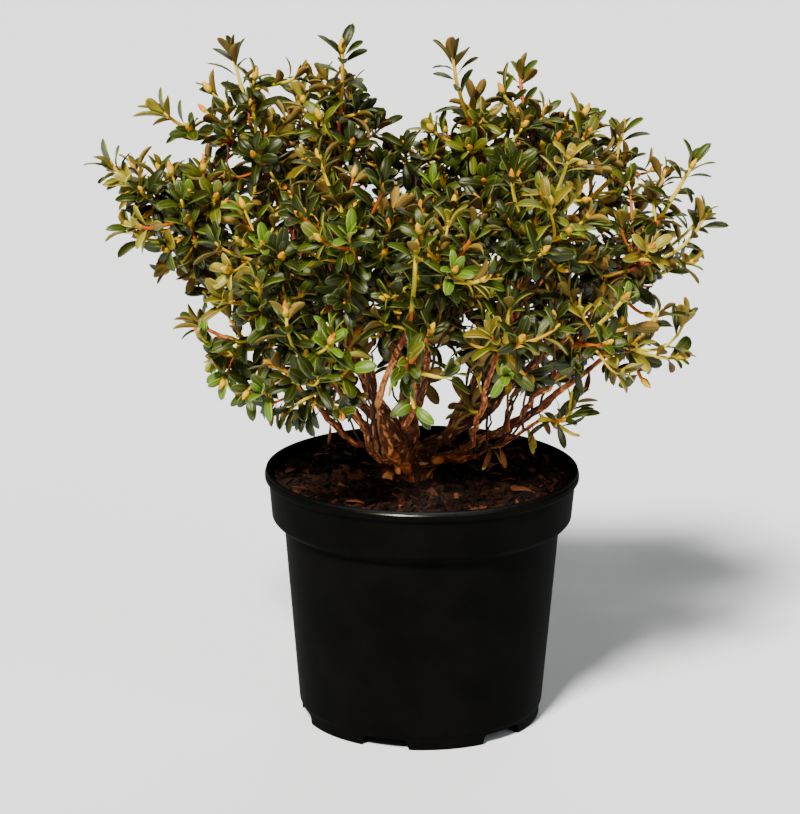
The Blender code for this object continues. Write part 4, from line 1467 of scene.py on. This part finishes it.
def pot():
    """The shell, with its lip's bead, collar, shoulder, wall and foot ring."""
    floor_top = FLOOR_UNDERSIDE + FLOOR_THICKNESS
    lip_foot = POT_HEIGHT - LIP_DEPTH
    ring = FOOT_RADIUS - FOOT_RING_WIDTH
    bead_foot = POT_HEIGHT - BEAD_DEPTH
    outside = (
        (LIP_RADIUS - LIP_WIDTH / 2, POT_HEIGHT),
        (LIP_RADIUS - BEAD_IN, POT_HEIGHT),
        (LIP_RADIUS - BEAD_IN, bead_foot),
        (LIP_RADIUS, bead_foot - BEAD_IN),
        (LIP_RADIUS, lip_foot + LIP_FOOT_RISE),
        (COLLAR_TOP_RADIUS, lip_foot - LIP_FOOT_DROP),
        (COLLAR_FOOT_RADIUS, COLLAR_FOOT),
        (COLLAR_FOOT_RADIUS - SHOULDER_IN, COLLAR_FOOT - SHOULDER_DOWN),
        (WALL_TOP_RADIUS, WALL_TOP - WALL_HEAD_DROP),
        (WALL_FOOT_RADIUS, WALL_FOOT),
        (FOOT_RADIUS + FOOT_FLARE, FLOOR_UNDERSIDE),
        (FOOT_RADIUS, 0.0),
        (ring, 0.0),
        (ring - FOOT_RING_TAPER, FLOOR_UNDERSIDE),
        (0.0, FLOOR_UNDERSIDE),
    )
    inside = (
        (0.0, floor_top),
        (inner_wall_radius(floor_top) - FLOOR_EDGE_IN, floor_top),
        (inner_wall_radius(WALL_TOP), WALL_TOP),
        (inner_collar_radius(COLLAR_FOOT), COLLAR_FOOT),
        (LIP_RADIUS - LIP_WIDTH, POT_HEIGHT - INNER_LIP_DROP),
        (LIP_RADIUS - LIP_WIDTH / 2, POT_HEIGHT),
    )
    obj = turned("pot_shell", rounded(outside, OUTER_FILLET) + rounded(inside, INNER_FILLET), POT_STEPS)
    cut_foot_slots(obj)
    mesh = applied(obj)
    mesh.shade_smooth()
    mesh.set_sharp_from_angle(angle=CREASE)
    mesh.materials.clear()
    mesh.materials.append(plastic_material("black_plastic", *PLASTIC))
    # Shinier slots on the lip's front arc only: a painted highlight that fades to the sides
    specular, *roughness = SHINY_RIM
    for step in range(RIM_STEPS):
        shine = specular * (1.0 - step / RIM_STEPS) ** RIM_FADE
        mesh.materials.append(plastic_material(f"handled_rim_{step}", shine, *roughness))
    on_rim = [rim_slot(face.center) for face in mesh.polygons]
    mesh.polygons.foreach_set("material_index", np.array(on_rim, np.int32))
    return obj


def foot_slot(length_round):
    """A cutter with sloping ends and rounded upper edges."""
    shape = bmesh.new()
    bmesh.ops.create_cube(shape, size=1.0)
    for vert in shape.verts:
        upper = vert.co.z > 0
        vert.co.x *= length_round * (SLOT_HEAD_WIDTH if upper else SLOT_FOOT_WIDTH)
        vert.co.y *= SLOT_LENGTH
        vert.co.z = FLOOR_UNDERSIDE - SLOT_UNDER_FLOOR if upper else -SLOT_BELOW
    across = [e for e in shape.edges if abs(e.verts[0].co.y - e.verts[1].co.y) > SLOT_LENGTH / 2]
    heads = [edge for edge in across if edge.verts[0].co.z > 0.0]
    bmesh.ops.bevel(shape, geom=heads, offset=SLOT_FILLET, segments=4, profile=0.5, affect="EDGES")
    return mesh_of("foot_slot", shape)


def cut_foot_slots(body):
    """Drainage slots between the feet."""
    slot_arc = math.tau / FEET - FOOT_ARC
    middle = FOOT_RADIUS - FOOT_RING_WIDTH / 2
    cutters = bpy.data.collections.new("foot_slots")
    bpy.context.scene.collection.children.link(cutters)
    for index in range(FEET):
        angle = FOOT_TURN + math.tau * (index + 0.5) / FEET
        mesh = foot_slot(2 * middle * math.sin(slot_arc / 2))
        cutter = bpy.data.objects.new(f"foot_slot_{index}", mesh)
        cutters.objects.link(cutter)
        x, y = polar(middle + SLOT_OUT, angle)
        cutter.location = (y, -x, 0.0)
        cutter.rotation_euler = (0.0, 0.0, angle)
    cut = body.modifiers.new("slots", "BOOLEAN")
    cut.operation = "DIFFERENCE"
    cut.operand_type = "COLLECTION"
    cut.collection = cutters
    cut.solver = "MANIFOLD"
    applied(body)
    for cutter in list(cutters.objects):
        bpy.data.objects.remove(cutter, do_unlink=True)
    bpy.data.collections.remove(cutters)


def plastic_material(name, specular, least_rough, most_rough):
    """Semi-matt black plastic with a faint moulded grain and a little dust."""
    look = Look(name, specular)
    clouds = look.clouds(28.0, 5.0)
    tone = look.ramp(clouds, "Fac", ((0.35, (5, 5, 5)), (0.75, (9, 9, 9))))
    look.link(tone, "Color", look.shader, "Base Color")
    gloss = look.node("MapRange", **{"To Min": least_rough, "To Max": most_rough})
    look.link(clouds, "Fac", gloss, "Value")
    look.link(gloss, "Result", look.shader, "Roughness")
    look.relief(look.clouds(700.0, 3.0), 0.12, 0.0004)
    return look.material


# Potting mix
def mix_height(x, y):
    """Height of the mix's surface, without its small relief."""
    radius = math.hypot(x, y)
    wall = inner_collar_radius(MIX_AT_WALL)
    share = min(1.0, max(0.0, (radius - MIX_FLAT_RADIUS) / (wall - MIX_FLAT_RADIUS)))
    return MIX_TOP - (MIX_TOP - MIX_AT_WALL) * (share * share * (3.0 - 2.0 * share) * 0.5 + share * 0.5)


def mix_relief(x, y):
    coarse = noise.fractal(Vector((x * 60.0, y * 60.0, 0.3)), 1.0, 2.0, 2)
    fine = noise.fractal(Vector((x * 260.0, y * 260.0, 4.1)), 0.8, 2.1, 3)
    return MIX_RELIEF * (0.6 * coarse + 0.5 * fine)


def mix_body():
    """The mix, with a lumpy top inside the pot's wall."""
    wall = inner_collar_radius(MIX_AT_WALL) - MIX_GAP
    foot = FLOOR_UNDERSIDE + FLOOR_THICKNESS + MIX_GAP
    angles = [math.tau * spoke / MIX_SPOKES for spoke in range(MIX_SPOKES)]
    verts = [(0.0, 0.0, mix_height(0.0, 0.0))]
    for ring in range(1, MIX_RINGS + 1):
        for angle in angles:
            x, y = polar(wall * ring / MIX_RINGS, angle)
            near_trunk = math.hypot(x - TRUNK_FOOT[0], y - TRUNK_FOOT[1]) < LEVEL_AT_TRUNK
            verts.append((x, y, mix_height(x, y) + (0.0 if near_trunk else mix_relief(x, y))))
    skirt = (
        (inner_collar_radius(COLLAR_FOOT) - MIX_WALL_GAP, COLLAR_FOOT + MIX_WALL_GAP),
        (inner_wall_radius(WALL_TOP) - MIX_WALL_GAP, WALL_TOP),
        (inner_wall_radius(foot) - MIX_FOOT_IN, foot),
    )
    for radius, height in skirt:
        verts.extend((*polar(radius, angle), height) for angle in angles)
    verts.append((0.0, 0.0, foot))
    faces, _ = skin(MIX_RINGS + len(skirt), MIX_SPOKES)
    batch = Batch()
    batch.add(np.array(verts), faces, ["mix"] * len(faces))
    obj = batch.build("mix_body")
    obj.data.flip_normals()
    obj.data.materials.append(mix_material())
    return obj


def mix_material():
    """Moist dark peat with brown crumbs."""
    look = Look("peat", MIX_SPECULAR, 0.92)
    crumbs = look.clouds(260.0, 8.0)
    tone = look.ramp(crumbs, "Fac", ((0.35, (9, 6, 5)), (0.55, (24, 14, 10)), (0.72, (48, 26, 17))))
    look.link(tone, "Color", look.shader, "Base Color")
    look.relief(crumbs, 0.9, 0.0015)
    return look.material


CHIP_CORNERS = np.array(
    [(x, y, z) for z in (-0.5, 0.5) for y in (-0.5, 0.5) for x in (-0.5, 0.5)], dtype=float
)
CHIP_FACES = np.array(
    ((0, 2, 3, 1), (4, 5, 7, 6), (0, 1, 5, 4), (2, 6, 7, 3), (0, 4, 6, 2), (1, 3, 7, 5))
)


def bark_chips(batch, dice, wall):
    """Chips and crumbs that lie on the mix, clear of the stems' foot and of the wall."""
    for _ in range(CHIPS):
        x, y = polar(math.sqrt(dice.random()) * (wall - CHIPS_OFF_WALL), dice.uniform(0.0, math.tau))
        if math.hypot(x - TRUNK_FOOT[0], y - TRUNK_FOOT[1]) < CHIPS_OFF_TRUNK:
            continue
        size = SMALLEST_CHIP + CHIP_GROWTH * dice.random() ** 3
        uneven = np.array([dice.random() for _ in range(24)]).reshape(8, 3) - 0.5
        corners = CHIP_CORNERS * size * (1.0 + 0.5 * uneven)
        tilt = Matrix.Rotation(dice.gauss(0.0, 0.80), 3, "X") @ Matrix.Rotation(dice.gauss(0.0, 0.60), 3, "Y")
        spin = Matrix.Rotation(dice.uniform(0.0, math.tau), 3, "Z")
        height = mix_height(x, y) + mix_relief(x, y) + size[2] * 0.35
        colour = dice.choices(list(CHIP_SHARES), list(CHIP_SHARES.values()))[0]
        placed = corners @ np.array(spin @ tilt).T + (x, y, height)
        if np.hypot(placed[:, 0], placed[:, 1]).max() < wall - MIX_WALL_GAP:
            batch.add(placed, CHIP_FACES, [colour] * len(CHIP_FACES))


def litter(palette, kinds):
    """Bark chips on the mix, and some fallen leaves on them."""
    dice = random.Random("chips")
    batch = Batch()
    wall = inner_collar_radius(MIX_AT_WALL)
    bark_chips(batch, dice, wall)
    for _ in range(FALLEN_LEAVES):
        x, y = polar(math.sqrt(dice.uniform(0.12, 0.85)) * wall, dice.uniform(0.0, math.tau))
        spin = dice.uniform(0.0, math.tau)
        along = unit(np.array((math.cos(spin), math.sin(spin), dice.uniform(-0.1, 0.25))))
        upper = unit(UP - along * along[2])
        root = np.array((x, y, mix_height(x, y) + FALLEN_LIFT)) - along * FALLEN_BACK
        if np.hypot(*(root + along * 0.02)[:2]) < wall - FALLEN_OFF_WALL:
            put_leaf(batch, kinds[dice.randrange(len(kinds))], root, along, upper, FALLEN_LENGTH, "dead")
    return batch.build("bark_chips", palette, smooth=False)


def hanging_leaves(limbs, palette, kinds):
    """Withered leaves under the lowest branches."""
    batch = Batch()
    for name, count in HANGING.items():
        dice = random.Random(f"{name} withered")
        line = limbs[name].line
        for _ in range(count):
            root, along = place_on(line, dice.uniform(*HANGING_STRETCH))
            lean = np.array((dice.uniform(-0.6, 0.6), dice.uniform(-0.6, 0.2), -1.0))
            tint = dice.choice(("dead", "dead", "olive"))
            down = unit(lean + along * 0.4)
            upper = unit(np.cross(down, (dice.uniform(-1, 1), 0.6, 0.2)))
            size = dice.uniform(*HANGING_LENGTH)
            put_leaf(batch, kinds[dice.randrange(len(kinds))], root, down, upper, size, tint)
    return batch.build("withered_leaves", palette)


# Stage
def camera():
    data = bpy.data.cameras.new("camera")
    data.sensor_fit = "VERTICAL"
    data.sensor_height = SENSOR
    data.lens = SENSOR * CAMERA_FOCUS / PICTURE_HEIGHT
    data.clip_end = 50.0
    obj = linked("camera", data)
    look = Matrix.Rotation(math.pi / 2 - CAMERA_PITCH, 4, "X") @ Matrix.Rotation(CAMERA_ROLL, 4, "Z")
    obj.matrix_world = Matrix.Translation(CAMERA_PLACE) @ look
    bpy.context.scene.camera = obj


def sun(name, place, power, softness, colour):
    """A far soft light that shines from this place towards the plant."""
    data = bpy.data.lights.new(name, "SUN")
    data.energy = power
    data.angle = math.radians(softness)
    data.color = colour
    linked(name, data).rotation_euler = (-Vector(place)).to_track_quat("-Z", "Y").to_euler()


def stage():
    shape = bmesh.new()
    bmesh.ops.create_grid(shape, x_segments=1, y_segments=1, size=FLOOR_SIZE)
    floor = linked("floor", mesh_of("floor", shape))
    floor.location.z = -FLOOR_DROP
    floor.data.materials.append(plain_material("floor", FLOOR_COLOUR, 0.9))
    world = bpy.data.worlds.new("studio")
    world.use_nodes = True
    sky = world.node_tree.nodes["Background"]
    sky.inputs["Color"].default_value = SKY_COLOUR
    sky.inputs["Strength"].default_value = SKY_POWER
    bpy.context.scene.world = world
    for name, light in SUNS.items():
        sun(name, *light)


def main():
    palette = make_palette()
    limbs = {name: gnarled(limb, name) for name, limb in boughs().items()}
    stem = Limb(bezier(FRONT_STEM, BOUGH_POINTS), np.linspace(*FRONT_STEM_RADII, BOUGH_POINTS))
    stems = {**limbs, "front_stem": stem}
    settle(wood(stems), "bark", "trunk", *(f"bough_{mass.name}" for mass in MASSES))
    broad, narrow, bud = leaf_shapes(LEAF_WIDTHS), leaf_shapes(NARROW_WIDTHS), bud_shape()
    shown = shown_limbs(stems)
    total = 0
    for mass in MASSES:
        kinds = narrow if mass.name in NARROW_LEAVED else broad
        total += foliage(mass, limbs[mass.name], kinds, bud, palette, shown)
    print("leaves", total)
    settle(pot(), "pot", "pot")
    settle(mix_body(), "mix", "potting_mix")
    settle(litter(palette, broad), "mix")
    settle(hanging_leaves(limbs, palette, narrow), "leaves")
    camera()
    stage()


main()
